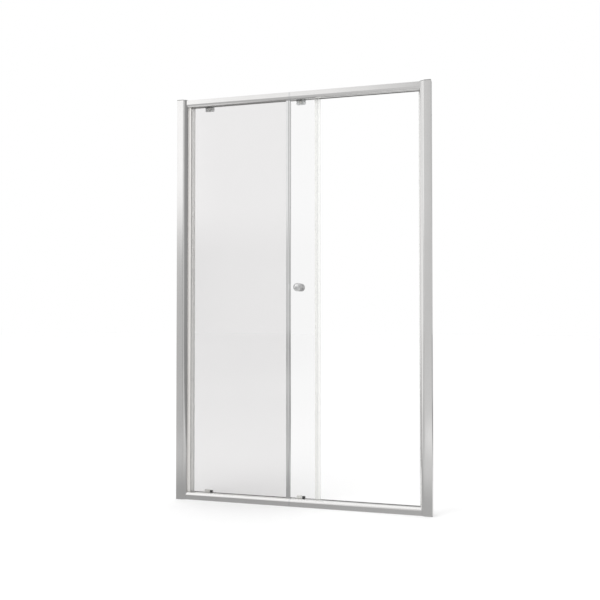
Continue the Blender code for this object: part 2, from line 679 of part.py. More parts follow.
def build_fixed_trim():
    """The end profile that wraps the fixed pane's free edge, with a bead down its front."""
    front, back = SLOT_FRONT, SLOT_BACK
    tip, end = TRIM_END - TRIM_WIDTH, TRIM_END
    base = FIXED_PANE_EDGE + SLIP
    bead_end = end - TRIM_BEAD_INSET
    bead_middle = bead_end - TRIM_BEAD_WIDTH / 2
    inner_front, inner_back = front + TRIM_WALL, back - TRIM_WALL
    bead = arc((bead_middle, front), (TRIM_BEAD_WIDTH / 2, TRIM_BEAD_HEIGHT), 180, 360, NOSE_STEPS)
    corner = TRIM_WALL
    outline = [(tip, inner_front), (tip, front)] + bead
    outline += arc((end - corner, front + corner), (corner, corner), -90, 0, EDGE_STEPS)
    outline += arc((end - corner, back - corner), (corner, corner), 0, 90, EDGE_STEPS)
    outline += [(tip, back), (tip, inner_back), (base, inner_back), (base, inner_front)]
    return prism("fixed_trim", "Z", side_points("left", outline), TRIM_FOOT, TRIM_HEAD, CHROME)


def build_trim_wiper():
    """The lip behind the end trim that wipes the face of the sliding pane."""
    middle = TRIM_END - TRIM_WIDTH / 2
    near = SLOT_BACK + SLIP
    root = near + WIPER_BASE_THICKNESS
    tip = SLIDING_FRONT - SLIP
    half, lip = WIPER_BASE_WIDTH / 2, WIPER_LIP / 2
    outline = [(middle - half, near), (middle + half, near), (middle + half, root)]
    outline += [(middle + lip, root), (middle + 2 * lip, tip), (middle, tip), (middle - lip, root)]
    outline += [(middle - half, root)]
    return prism("trim_wiper", "Z", side_points("left", outline), TRIM_FOOT, TRIM_HEAD, VINYL)


def build_trim_clip(rail):
    """The narrow strap across a rail's front that ends under the end trim's foot."""
    centre = (SLOT_FRONT, RAIL_HEIGHT - RAIL_NOSE_HEIGHT)
    radii = (SLOT_FRONT - RAIL_SETBACK + SLIP, RAIL_NOSE_HEIGHT + SLIP)
    path = [(RAIL_SETBACK - SLIP, CLIP_SETBACK)] + arc(centre, radii, 180, 90, NOSE_STEPS)
    path += [(SLOT_BACK - SLIP, RAIL_HEIGHT + SLIP)]
    outline = walled(path, CLIP_THICKNESS)
    end = x_at(FIXED_PANE_EDGE + SLIP + CLIP_WIDTH)
    return prism(f"trim_clip_{rail}", "X", in_rail(rail, outline), end - CLIP_WIDTH, end, CHROME)


def build_leading_seal():
    """The magnetic seal that wraps the sliding pane's closing edge."""
    front, back = SLIDING_FRONT - SLIP - SEAL_LEG, SLIDING_BACK + SLIP + SEAL_LEG
    inner_front, inner_back = SLIDING_FRONT - SLIP, SLIDING_BACK + SLIP
    tip, base = LEADING_EDGE - LEADING_SEAL_COVER, LEADING_EDGE + SLIP
    waist, shoulder = base + SEAL_BASE, base + 2 * SEAL_BASE
    nose = LEADING_SEAL_END - SEAL_BASE
    outline = [(base, inner_front), (tip, inner_front), (tip, front), (waist, front)]
    outline += [(shoulder, inner_front), (nose, inner_front), (LEADING_SEAL_END, inner_front + SEAL_BASE)]
    outline += [(LEADING_SEAL_END, inner_back - SEAL_BASE), (nose, inner_back), (shoulder, inner_back)]
    outline += [(waist, back), (tip, back), (tip, inner_back), (base, inner_back)]
    return prism("leading_seal", "Z", side_points("left", outline), SEAL_FOOT, SEAL_HEAD, VINYL)


def build_trailing_seal():
    """The lip seal on the sliding pane's other edge, which meets the wiper when the door is shut."""
    front, back = SLIDING_FRONT - SLIP - SEAL_LEG, SLIDING_BACK + SLIP + SEAL_LEG
    inner_front, inner_back = SLIDING_FRONT - SLIP, SLIDING_BACK + SLIP
    tip, base = SLIDING_PANE_EDGE + TRAILING_SEAL_COVER, SLIDING_PANE_EDGE - SLIP
    wall, end = base - SEAL_BASE, SLIDING_PANE_EDGE - TRAILING_SEAL_PROJECTION
    outline = [(tip, front), (tip, inner_front), (base, inner_front), (base, inner_back)]
    outline += [(tip, inner_back), (tip, back), (wall, back), (wall, inner_front)]
    outline += [(end, inner_front), (end, front)]
    return prism("trailing_seal", "Z", side_points("left", outline), SEAL_FOOT, SEAL_HEAD, VINYL)


def build_roller_body(place, centre):
    """The carrier that hangs on two wheels: a thin plate in the rail and a block below it."""
    block_back = PLATE_FRONT + ROLLER_BLOCK_DEPTH
    foot = BLOCK_LEVEL + ROLLER_BLOCK_HEIGHT
    outline = [(PLATE_FRONT, PLATE_LEVEL), (PLATE_BACK, PLATE_LEVEL), (PLATE_BACK, BLOCK_LEVEL)]
    outline += [(block_back, BLOCK_LEVEL), (block_back, foot), (PLATE_FRONT, foot)]
    start, end = x_at(centre - ROLLER_BODY_WIDTH / 2), x_at(centre + ROLLER_BODY_WIDTH / 2)
    body = prism(f"roller_body_{place}", "X", in_rail("top", outline), start, end, GREY_PLASTIC)
    bottom, top = level("top", foot), level("top", PLATE_LEVEL)

    def corner(middle, edge):
        outside = min(abs(middle.x), abs(middle.x - ROLLER_BODY_WIDTH)) < SLIP
        at_end = min(abs(middle.z - bottom), abs(middle.z - top)) < SLIP
        return outside and at_end and runs_along_depth(edge)

    round_edges(body, ROLLER_CORNER, corner)
    mouth = (x_at(centre), y_at(PLATE_FRONT - OVERRUN), level("top", BOLT_LEVEL))
    reach = OVERRUN + ROLLER_BLOCK_DEPTH - BOLT_END_WALL + SLIP
    drill(body, f"bolt_hole_{place}", [mouth], "Y", BOLT_RADIUS + SLIP, reach)
    axles = []
    for offset in (-ROLLER_SPACING / 2, ROLLER_SPACING / 2):
        axles.append((x_at(centre + offset), y_at(PLATE_FRONT - OVERRUN), level("top", ROLLER_AXLE_LEVEL)))
    reach = ROLLER_PLATE + 2 * OVERRUN
    drill(body, f"axle_hole_{place}", axles, "Y", ROLLER_PIN_RADIUS + SLIP, reach)
    return body


def build_roller_bolt(place, centre, pane):
    """The countersunk bolt through the pane, flush so that it clears the fixed pane's wiper."""
    start = (x_at(centre), y_at(SLIDING_FRONT + BOLT_SINK), level("top", BOLT_LEVEL))
    end = PLATE_FRONT + ROLLER_BLOCK_DEPTH - BOLT_END_WALL - SLIDING_FRONT - BOLT_SINK
    outline = [(0, 0), (BOLT_HEAD_RADIUS, 0), (BOLT_RADIUS, BOLT_CONE), (BOLT_RADIUS, end), (0, end)]
    bolt = turned(f"roller_bolt_{place}", outline, start, "Y", 2 * SMALL_SIDES, CHROME)
    mouth = (start[0], y_at(SLIDING_FRONT - OVERRUN), start[2])
    wide, narrow = BOLT_HEAD_RADIUS + 2 * SLIP, BOLT_RADIUS + 2 * SLIP
    cone = OVERRUN + BOLT_SINK
    past = OVERRUN + GLASS_THICKNESS + OVERRUN
    outline = [(0, 0), (wide, 0), (wide, cone), (narrow, cone + BOLT_CONE), (narrow, past), (0, past)]
    cutter = turned(f"countersink_{place}", outline, mouth, "Y", 2 * SMALL_SIDES, STEEL)
    boolean(pane, cutter, "DIFFERENCE")
    return bolt


def wheel_profile(radius, bore):
    """Half the section of a grooved wheel, as a closed loop of (radius, along) points."""
    half = WHEEL_WIDTH / 2
    root = radius - WHEEL_GROOVE_DEPTH
    groove = RIB_WIDTH / 2 + WHEEL_GROOVE_PLAY
    half_section = [(bore, half), (radius - WHEEL_CHAMFER, half), (radius, half - WHEEL_CHAMFER)]
    half_section += [(radius, groove + WHEEL_CHAMFER), (root, groove)]
    return half_section + [(across, -along) for across, along in half_section[::-1]]


def build_roller_wheel(name, x):
    """A top wheel, turned about its own axle, which is its origin."""
    place = (x, y_at(WHEEL_DEPTH), level("top", ROLLER_AXLE_LEVEL))
    profile = wheel_profile(ROLLER_WHEEL_RADIUS, ROLLER_PIN_RADIUS + SLIP)
    return turned(name, profile, place, "Y", WHEEL_SIDES, NYLON, ring=True)


def build_roller_pin(name, x):
    """The headed axle that holds a top wheel to its carrier."""
    start = PLATE_FRONT + SLIP
    shoulder = WHEEL_BACK + SLIP - start
    end = shoulder + ROLLER_PIN_HEAD
    outline = [(0, 0), (ROLLER_PIN_RADIUS, 0), (ROLLER_PIN_RADIUS, shoulder)]
    outline += [(ROLLER_PIN_HEAD_RADIUS, shoulder), (ROLLER_PIN_HEAD_RADIUS, end), (0, end)]
    place = (x, y_at(start), level("top", ROLLER_AXLE_LEVEL))
    return turned(name, outline, place, "Y", SMALL_SIDES, STEEL)


def build_guide_body(place, centre):
    """The bottom guide: a block above the rail, a well for the button, a hook under the pane."""
    left, right = centre - GUIDE_BODY_WIDTH / 2, centre + GUIDE_BODY_WIDTH / 2
    foot, top = BLOCK_LEVEL, BLOCK_LEVEL + GUIDE_BODY_HEIGHT
    shoulder = BLOCK_LEVEL + GUIDE_SHOULDER
    well_start = centre + GUIDE_WELL_END - GUIDE_WELL
    slope_foot = well_start - SLIP
    front, back = PLATE_FRONT, PLATE_FRONT + GUIDE_DEPTH
    outline = [(left, foot), (right, foot), (right, shoulder), (slope_foot, shoulder)]
    outline += [(slope_foot - GUIDE_SLOPE, top), (left + GUIDE_CORNER, top), (left, top - GUIDE_CORNER)]
    section = [(x_at(across), height) for across, height in outline]
    body = prism(f"guide_body_{place}", "Y", section, y_at(front), y_at(back), CLEAR_PLASTIC)

    pane_foot = RAIL_HEIGHT - SLIDING_PANE_ENTRY
    hook_front = SLIDING_FRONT - SLIP - GUIDE_LIP
    hook_floor = pane_foot - SLIP - GUIDE_FOOT
    overlap = foot + GUIDE_FLOOR
    hook = [(PLATE_FRONT + SLIP, overlap), (PLATE_FRONT + SLIP, pane_foot - SLIP)]
    hook += [(SLIDING_FRONT - SLIP, pane_foot - SLIP), (SLIDING_FRONT - SLIP, pane_foot + GUIDE_LIP_HEIGHT)]
    hook += [(hook_front, pane_foot + GUIDE_LIP_HEIGHT), (hook_front, hook_floor)]
    hook += [(PLATE_BACK, hook_floor), (PLATE_BACK, overlap)]
    start = x_at(left + SLIP)
    section = in_rail("bottom", hook)
    clip = prism(f"guide_hook_{place}", "X", section, start, start + GUIDE_CLIP_WIDTH, CLEAR_PLASTIC)
    boolean(body, clip, "UNION")

    before, behind = front - OVERRUN, BUTTON_BACK + SLIP
    below, above = foot - OVERRUN, top + OVERRUN
    well = [(before, below), (LEDGE_FRONT, below), (LEDGE_FRONT, foot + GUIDE_FLOOR)]
    well += [(behind, foot + GUIDE_FLOOR), (behind, above), (before, above)]
    start = x_at(well_start)
    section = in_rail("bottom", well)
    cutter = prism(f"guide_well_{place}", "X", section, start, start + GUIDE_WELL, STEEL)
    boolean(body, cutter, "DIFFERENCE")
    return body


def build_guide_plunger(place, centre):
    """The release button, its stem down through the rail's mouth and the axle of the lower wheel."""
    axle = x_at(centre + BUTTON_CENTRE)
    axle_level = GUIDE_AXLE_LEVEL
    top = BUTTON_LEVEL + BUTTON_HEIGHT
    outline = [(STEM_FRONT, axle_level - STEM_TAIL), (PLATE_BACK, axle_level - STEM_TAIL)]
    outline += [(PLATE_BACK, BUTTON_LEVEL), (BUTTON_BACK, BUTTON_LEVEL)]
    outline += [(BUTTON_BACK, top), (STEM_FRONT, top)]
    start = axle - BUTTON_WIDTH / 2
    section = in_rail("bottom", outline)
    plunger = prism(f"guide_plunger_{place}", "X", section, start, start + BUTTON_WIDTH, BLACK_PLASTIC)
    round_edges(plunger, BUTTON_CORNER, lambda middle, edge: abs(middle.z - top) < SLIP)

    hole = (axle, y_at(SPRING_DEPTH), BUTTON_LEVEL - OVERRUN)
    reach = OVERRUN + BUTTON_HEIGHT - BUTTON_END_WALL
    drill(plunger, f"spring_hole_{place}", [hole], "Z", SPRING_RADIUS + SPRING_WIRE / 2 + SLIP, reach)

    root = (axle, y_at(PLATE_BACK - STEM_THICKNESS / 2), axle_level)
    shoulder = STEM_THICKNESS / 2 + SLIP + WHEEL_WIDTH + SLIP
    end = shoulder + GUIDE_PIN_HEAD
    outline = [(0, 0), (GUIDE_PIN_RADIUS, 0), (GUIDE_PIN_RADIUS, shoulder)]
    outline += [(GUIDE_PIN_HEAD_RADIUS, shoulder), (GUIDE_PIN_HEAD_RADIUS, end), (0, end)]
    pin = turned(f"guide_pin_{place}", outline, root, "Y", SMALL_SIDES, BLACK_PLASTIC)
    boolean(plunger, pin, "UNION")
    return plunger


def build_guide_wheel(place, centre):
    """A lower wheel, which runs under the rib of the bottom rail's ledge."""
    at = (x_at(centre + BUTTON_CENTRE), y_at(WHEEL_DEPTH), GUIDE_AXLE_LEVEL)
    profile = wheel_profile(GUIDE_WHEEL_RADIUS, GUIDE_PIN_RADIUS + SLIP)
    return turned(f"guide_wheel_{place}", profile, at, "Y", WHEEL_SIDES, NYLON, ring=True)


def build_guide_spring(place, centre):
    """The coil spring between the floor of a guide's well and its button."""
    bottom = BLOCK_LEVEL + GUIDE_FLOOR + SLIP + SPRING_WIRE / 2
    top = BUTTON_LEVEL + BUTTON_HEIGHT - BUTTON_END_WALL - SLIP - SPRING_WIRE / 2
    curve = bpy.data.curves.new(f"guide_spring_{place}", "CURVE")
    curve.dimensions = "3D"
    curve.bevel_depth = SPRING_WIRE / 2
    curve.bevel_resolution = 1
    curve.use_fill_caps = True
    count = SPRING_TURNS * SPRING_POINTS_PER_TURN
    line = curve.splines.new("POLY")
    line.points.add(count)
    for number, point in enumerate(line.points):
        angle = 2 * math.pi * number / SPRING_POINTS_PER_TURN
        height = (top - bottom) * number / count
        point.co = (SPRING_RADIUS * math.cos(angle), SPRING_RADIUS * math.sin(angle), height, 1)
    curve.materials.append(STEEL)
    spring = bpy.data.objects.new(curve.name, curve)
    bpy.context.scene.collection.objects.link(spring)
    spring.location = (x_at(centre + BUTTON_CENTRE), y_at(SPRING_DEPTH), bottom)
    return spring


def build_knob(side):
    """One of the two knobs: a plain drum with a dished face and a blind hole for the stud."""
    gap = SLIP + WASHER_THICKNESS + SLIP
    depth = SLIDING_FRONT - gap if side == "front" else SLIDING_BACK + gap
    hole, bite = KNOB_STUD_RADIUS + SLIP, KNOB_STUD_BITE + SLIP
    shoulder = (KNOB_RADIUS - KNOB_EDGE, KNOB_LENGTH - KNOB_EDGE)
    outline = [(hole, 0), (KNOB_RADIUS - KNOB_EDGE / 2, 0), (KNOB_RADIUS, KNOB_EDGE / 2)]
    outline += arc(shoulder, (KNOB_EDGE, KNOB_EDGE), 0, 90, EDGE_STEPS)
    outline += [(KNOB_DISH_SHARE * KNOB_RADIUS, KNOB_LENGTH)]
    outline += [(KNOB_DISH_SHARE * KNOB_RADIUS - KNOB_DISH, KNOB_LENGTH - KNOB_DISH)]
    outline += [(0, KNOB_LENGTH - KNOB_DISH)]
    outline = [(0, bite), (hole, bite)] + outline
    away = "-Y" if side == "front" else "Y"
    place = (x_at(KNOB_PLACE), y_at(depth), KNOB_HEIGHT)
    return turned(f"knob_{side}", outline, place, away, FINE_SIDES, CHROME)


def build_knob_washer(side):
    """A clear ring between a knob and the glass."""
    depth = SLIDING_FRONT - SLIP - WASHER_THICKNESS if side == "front" else SLIDING_BACK + SLIP
    hole = KNOB_STUD_RADIUS + SLIP
    outline = [(hole, 0), (WASHER_RADIUS, 0), (WASHER_RADIUS, WASHER_THICKNESS), (hole, WASHER_THICKNESS)]
    place = (x_at(KNOB_PLACE), y_at(depth), KNOB_HEIGHT)
    return turned(f"knob_washer_{side}", outline, place, "Y", WHEEL_SIDES, CLEAR_PLASTIC, ring=True)


def build_knob_stud(pane):
    """The threaded stud that draws both knobs onto the pane, and its hole in the glass."""
    gap = SLIP + WASHER_THICKNESS + SLIP
    start = SLIDING_FRONT - gap - KNOB_STUD_BITE
    length = GLASS_THICKNESS + 2 * gap + 2 * KNOB_STUD_BITE
    radius = KNOB_STUD_RADIUS
    place = (x_at(KNOB_PLACE), y_at(start), KNOB_HEIGHT)
    outline = [(0, 0), (radius, 0), (radius, length), (0, length)]
    stud = turned("knob_stud", outline, place, "Y", SMALL_SIDES, STEEL)
    mouth = [(place[0], y_at(SLIDING_FRONT - OVERRUN), KNOB_HEIGHT)]
    drill(pane, "knob_hole", mouth, "Y", KNOB_HOLE_RADIUS, GLASS_THICKNESS + 2 * OVERRUN)
    return stud


def build_door_stop(name, face, away):
    """A rubber buffer between the top rail's web and rib; its nose meets a roller carrier."""
    front, back = PLATE_FRONT + SLIP, REAR_WALL_FRONT - SLIP
    near, far = RAIL_WALL + SLIP, RIB_TIP - SLIP
    outline = [(front, near), (back, near), (back, far), (front, far)]
    start, end = sorted((face, face + away * STOP_LENGTH))
    stop = prism(name, "X", in_rail("top", outline), start, end, RUBBER)
    nose = 0 if away > 0 else STOP_LENGTH

    def on_nose(middle, edge):
        return abs(middle.x - nose) < SLIP and runs_along_depth(edge)

    round_edges(stop, STOP_NOSE, on_nose)
    return stop


def build_frame():
    """Everything that stays still: wall profiles, jambs, rails and the fixed pane."""
    for side in ("left", "right"):
        profile = build_wall_profile(side)
        jamb = build_jamb(side)
        for place, share in JAMB_SCREW_HEIGHT_SHARES.items():
            build_jamb_screw(side, place, share, profile, jamb)
        build_jamb_cap(side)
    infill_start = x_at(FIXED_PANE_EDGE + SLIP + CLIP_WIDTH + SLIP)
    infill_end = x_at(FRAME_WIDTH - JAMB_WIDTH - 2 * SLIP)
    for rail in ("bottom", "top"):
        build_rail(rail)
        build_rail_gasket(rail)
        build_trim_clip(rail)
        for side in ("left", "right"):
            build_rail_screw(rail, side)
        section = in_rail(rail, infill_section(RAIL_HEIGHT))
        prism(f"infill_{rail}", "X", section, infill_start, infill_end, ALUMINIUM)
    section = side_points("right", [(across, depth) for depth, across in infill_section(JAMB_WIDTH)])
    prism("jamb_infill", "Z", section, SEAL_FOOT, SEAL_HEAD, ALUMINIUM)
    left_edge = JAMB_WIDTH - JAMB_PANE_ENTRY
    build_pane("fixed_glass", left_edge, FIXED_PANE_EDGE, FIXED_PANE_DEPTH, RAIL_PANE_ENTRY)
    build_side_gasket()
    build_fixed_trim()
    build_trim_wiper()
    build_strike_seal()
    half = ROLLER_BODY_WIDTH / 2
    build_door_stop("door_stop_open", x_at(ROLLER_CENTRES["rear"] - half - SLIP), -1)
    build_door_stop("door_stop_closed", x_at(ROLLER_CENTRES["front"] + half + TRAVEL + STOP_SLACK), 1)


def build_carriers(place, centre, pane):
    """The roller carrier and the guide at one place along the sliding pane."""
    pieces = [build_roller_body(place, centre), build_roller_bolt(place, centre, pane)]
    for side, sign in (("left", -1), ("right", 1)):
        x = x_at(centre + sign * ROLLER_SPACING / 2)
        pieces.append(build_roller_pin(f"roller_pin_{place}_{side}", x))
        pieces.append(build_roller_wheel(f"roller_wheel_{place}_{side}", x))
    plunger = build_guide_plunger(place, centre)
    attach([build_guide_wheel(place, centre)], plunger)
    return pieces + [build_guide_body(place, centre), build_guide_spring(place, centre), plunger]


def build_sliding_door():
    """The sliding pane and all that travels with it, on an empty that lies on the wheels' rib."""
    axis = bpy.data.objects.new("sliding_door_axis", None)
    bpy.context.scene.collection.objects.link(axis)
    middle = SLIDING_PANE_EDGE + SLIDING_PANE_WIDTH / 2
    axis.location = (x_at(middle), y_at(WHEEL_DEPTH), level("top", RIB_TIP))
    pane = build_pane(
        "sliding_glass", SLIDING_PANE_EDGE, LEADING_EDGE, SLIDING_PANE_DEPTH, SLIDING_PANE_ENTRY
    )
    pieces = [pane, build_leading_seal(), build_trailing_seal(), build_knob_stud(pane)]
    for side in ("front", "back"):
        pieces += [build_knob(side), build_knob_washer(side)]
    for place, centre in ROLLER_CENTRES.items():
        pieces += build_carriers(place, centre, pane)
    attach(pieces, axis)


build_frame()
build_sliding_door()
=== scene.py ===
"""Looks of a framed shower door: a fixed pane, a sliding pane and bright aluminium round both.

Metres, +Z up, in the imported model's own frame: +X runs to the right-hand wall, +Y into the shower, and
the origin is the middle of the bottom rail's underside. Each sub-assembly is a class whose fields are
its sizes in millimetres. A spot is given in millimetres too: from the left-hand wall, behind the front
and above the base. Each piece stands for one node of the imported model, in its place.
"""

import json
import logging
import math
from dataclasses import dataclass
from enum import Enum
from typing import Callable, Sequence

import bpy
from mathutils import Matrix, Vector


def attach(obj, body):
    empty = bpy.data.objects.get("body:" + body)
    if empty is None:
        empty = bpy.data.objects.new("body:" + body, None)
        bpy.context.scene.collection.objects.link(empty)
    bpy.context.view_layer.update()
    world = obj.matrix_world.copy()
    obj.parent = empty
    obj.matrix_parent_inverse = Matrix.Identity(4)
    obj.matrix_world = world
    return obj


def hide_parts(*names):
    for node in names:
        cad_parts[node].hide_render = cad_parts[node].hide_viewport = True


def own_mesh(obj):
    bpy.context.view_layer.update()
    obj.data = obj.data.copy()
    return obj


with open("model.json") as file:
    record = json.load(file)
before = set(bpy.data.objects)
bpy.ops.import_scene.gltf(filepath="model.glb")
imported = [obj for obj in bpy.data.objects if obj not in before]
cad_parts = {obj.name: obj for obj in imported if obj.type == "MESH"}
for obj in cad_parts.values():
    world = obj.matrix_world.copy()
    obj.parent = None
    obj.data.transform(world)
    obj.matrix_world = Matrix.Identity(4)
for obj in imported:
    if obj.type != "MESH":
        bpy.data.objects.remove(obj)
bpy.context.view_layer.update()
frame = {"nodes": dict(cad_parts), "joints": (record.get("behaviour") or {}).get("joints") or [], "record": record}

BODIES = frame["record"]["behaviour"]["bodies"]
BODY_OF = {node: body for body, nodes in BODIES.items() for node in nodes}
LOG = logging.getLogger("shower_door")

Pair = tuple[float, float]
Spot = Sequence[float]
Outline = Sequence[Pair]
Test = Callable[[Vector, Vector], bool]
Socket = bpy.types.NodeSocket
Layers = Sequence[tuple[str | float, ...]]

MM = 0.001
# Points closer than this are one point, in metres
NEAR = 5e-6
# The side of the plane that a piece or a line starts from, in metres
SEED = 0.001
# Edges that turn more than this are corners, and faces that turn less are one flat
SHARP_TURN = math.radians(50)
FLAT_TURN = math.radians(1)
# A face looks along an axis when this much of its normal does
FACING = 0.9
# Corners of an outline that turn less than this stay as they are, in degrees
LEAST_CORNER = 20.0
# The most of a side that the rounding of one corner takes
SIDE_SHARE = 0.45
# How far a cutter goes past the face that it starts from, in millimetres
PAST = 1.0
NOSE_STEPS = 24
EDGE_STEPS = 6
ROUND_SIDES = 48
SMALL_SIDES = 24


class Run(Enum):
    """The axis that a bar runs along or a round piece turns about."""

    X = 0
    Y = 1
    Z = 2

    def filled(self, pair: Spot, along: float) -> list[float]:
        """Three coordinates from two across the run and one along it."""
        return [*pair[: self.value], along, *pair[self.value :]]

    @property
    def way(self) -> Vector:
        """A step of one metre along the run."""
        return Vector(self.filled((0, 0), 1))

    @property
    def across(self) -> Vector:
        """A step of one metre square to the run."""
        return Run((self.value + 1) % 3).way


@dataclass(frozen=True)
class Plan:
    """Sizes that several sub-assemblies share."""

    width: float = 1200.0
    height: float = 1900.0
    depth: float = 48.0
    slip: float = 0.3
    wall_profile: float = 31.0
    jamb: float = 52.0
    jamb_faces: Pair = (1.9, 46.1)
    nose: Pair = (21.0, 18.6)
    slot: Pair = (20.5, 29.5)
    rail_height: float = 33.5
    rail_top: float = 1896.5
    seal_span: Pair = (34.1, 1862.4)
    trim_span: Pair = (34.7, 1861.8)
    fixed_edge: float = 551.0
    sliding_faces: Pair = (32.7, 38.7)
    sliding_middle: float = 35.7
    sliding_edges: Pair = (73.0, 682.0)
    wheel_depth: float = 43.1
    wheel_width: float = 4.0
    bolt_level: float = 1852.75
    axle_level: float = 1874.2
    screw_inset: float = 20.0
    screw_levels: tuple[tuple[str, float], ...] = (("low", 228.0), ("mid", 950.0), ("high", 1672.0))

    def spot(self, from_left: float, depth: float, height: float) -> Vector:
        """A spot's point in metres."""
        return Vector(((from_left - self.width / 2) * MM, (depth - self.depth / 2) * MM, height * MM))


PLAN = Plan()


class Side(Enum):
    """The two sides of the frame."""

    LEFT = "left"
    RIGHT = "right"

    def x(self, from_wall: float) -> float:
        """Turn a distance from this side's wall to one from the left-hand wall."""
        return from_wall if self is Side.LEFT else PLAN.width - from_wall

    def section(self, outline: Outline) -> list[Pair]:
        """Turn (from this side's wall, depth) points to (from the left-hand wall, depth)."""
        return [(self.x(across), depth) for across, depth in outline]


class Rail(Enum):
    """The two rails of the frame: the same bar, the top one turned over."""

    BOTTOM = "bottom"
    TOP = "top"

    def level(self, height: float) -> float:
        """Turn a height in the rail's section, which counts from its outer side, to one above the base."""
        return height if self is Rail.BOTTOM else PLAN.rail_top - height

    def section(self, outline: Outline) -> list[Pair]:
        """Turn (depth, height in the section) points to (depth, height above the base)."""
        return [(depth, self.level(height)) for depth, height in outline]


class Place(Enum):
    """The two places along the sliding pane with a roller carrier above and a guide below."""

    REAR = 152.0
    FRONT = 603.0

    @property
    def word(self) -> str:
        """The place's name as the nodes have it."""
        return self.name.lower()


def linear(colour: str) -> tuple[float, float, float, float]:
    """Turn an sRGB hex colour to linear light.

    Args:
        colour: Six hex digits after a hash.

    Returns:
        Red, green, blue and an alpha of one.
    """
    parts = [int(colour[start : start + 2], 16) / 255 for start in (1, 3, 5)]
    return (*(part / 12.92 if part <= 0.04045 else ((part + 0.055) / 1.055) ** 2.4 for part in parts), 1.0)


def add_node(tree: bpy.types.NodeTree, kind: str, inputs: dict | None = None, **settings) -> bpy.types.Node:
    """Add a node with its settings and links.

    Args:
        tree: The node tree that gets it.
        kind: The node's type name after "ShaderNode".
        inputs: What goes into its sockets, by name or number: a value, or another node's output.
        **settings: The node's own properties.

    Returns:
        The new node.
    """
    node = tree.nodes.new(f"ShaderNode{kind}")
    for name, value in settings.items():
        setattr(node, name, value)
    for name, value in (inputs or {}).items():
        if isinstance(value, Socket):
            tree.links.new(value, node.inputs[name])
        else:
            node.inputs[name].default_value = value
    return node


def ranged(value: Socket, start: float, end: float, low: float = 0.0, high: float = 1.0) -> dict:
    """The inputs of a node that goes from low to high while a value goes from start to end."""
    return {"Value": value, "From Min": start, "From Max": end, "To Min": low, "To Max": high}


def arc(centre: Pair, radii: Pair, first: float, last: float, steps: int = NOSE_STEPS) -> list[Pair]:
    """Points on an ellipse's arc.

    Args:
        centre: The ellipse's middle.
        radii: Its two half widths.
        first: The angle where the arc starts, in degrees.
        last: The angle where it ends, in degrees.
        steps: How many steps it has.

    Returns:
        The points, both ends included.
    """
    points = []
    for step in range(steps + 1):
        angle = math.radians(first + (last - first) * step / steps)
        points.append((centre[0] + radii[0] * math.cos(angle), centre[1] + radii[1] * math.sin(angle)))
    return points


def oblong(low: Pair, high: Pair) -> list[Pair]:
    """The four corners of an oblong between two of them."""
    return [low, (high[0], low[1]), high, (low[0], high[1])]


def mirrored(half: Outline, middle: float) -> list[Pair]:
    """A closed outline from half of it, as (distance, out from the middle) points."""
    near, far = ([(along, middle + sign * out) for along, out in half] for sign in (-1, 1))
    return near + far[::-1]


def swapped(outline: Outline) -> list[Pair]:
    """The same points with their two coordinates changed over."""
    return [(second, first) for first, second in outline]


def walled(path: Outline, wall: float) -> list[Pair]:
    """Follow an open path with a wall.

    Args:
        path: The wall's right-hand side, point by point.
        wall: Its thickness.

    Returns:
        The wall's closed outline.
    """
    normals = []
    for one, other in zip(path, path[1:]):
        run, rise = other[0] - one[0], other[1] - one[1]
        size = math.hypot(run, rise)
        normals.append((-rise / size, run / size))
    inner = []
    for here, first, last in zip(path, normals[:1] + normals, normals + normals[-1:]):
        stretch = wall / (1 + first[0] * last[0] + first[1] * last[1])
        inner.append((here[0] + (first[0] + last[0]) * stretch, here[1] + (first[1] + last[1]) * stretch))
    return list(path) + inner[::-1]


def softened(outline: Outline, radius: float) -> list[Pair]:
    """Round each real corner of a closed outline with two short steps.

    Args:
        outline: The corners in order.
        radius: About the size of the rounding, less where a side is short.

    Returns:
        The outline with three points at each corner.
    """
    result = []
    corners = [Vector(point) for point in outline]
    for before, here, after in zip(corners[-1:] + corners[:-1], corners, corners[1:] + corners[:1]):
        back, on = before - here, after - here
        turn = 180 - math.degrees(back.angle(on))
        if turn < LEAST_CORNER:
            result.append(tuple(here))
            continue
        rounding = radius * math.tan(math.radians(min(turn, 90)) / 2)
        reach = min(rounding, SIDE_SHARE * back.length, SIDE_SHARE * on.length)
        first, last = here + back.normalized() * reach, here + on.normalized() * reach
        # The middle of a curve that leaves and arrives along the two sides
        result += [tuple(first), tuple((first + last) / 4 + here / 2), tuple(last)]
    return result


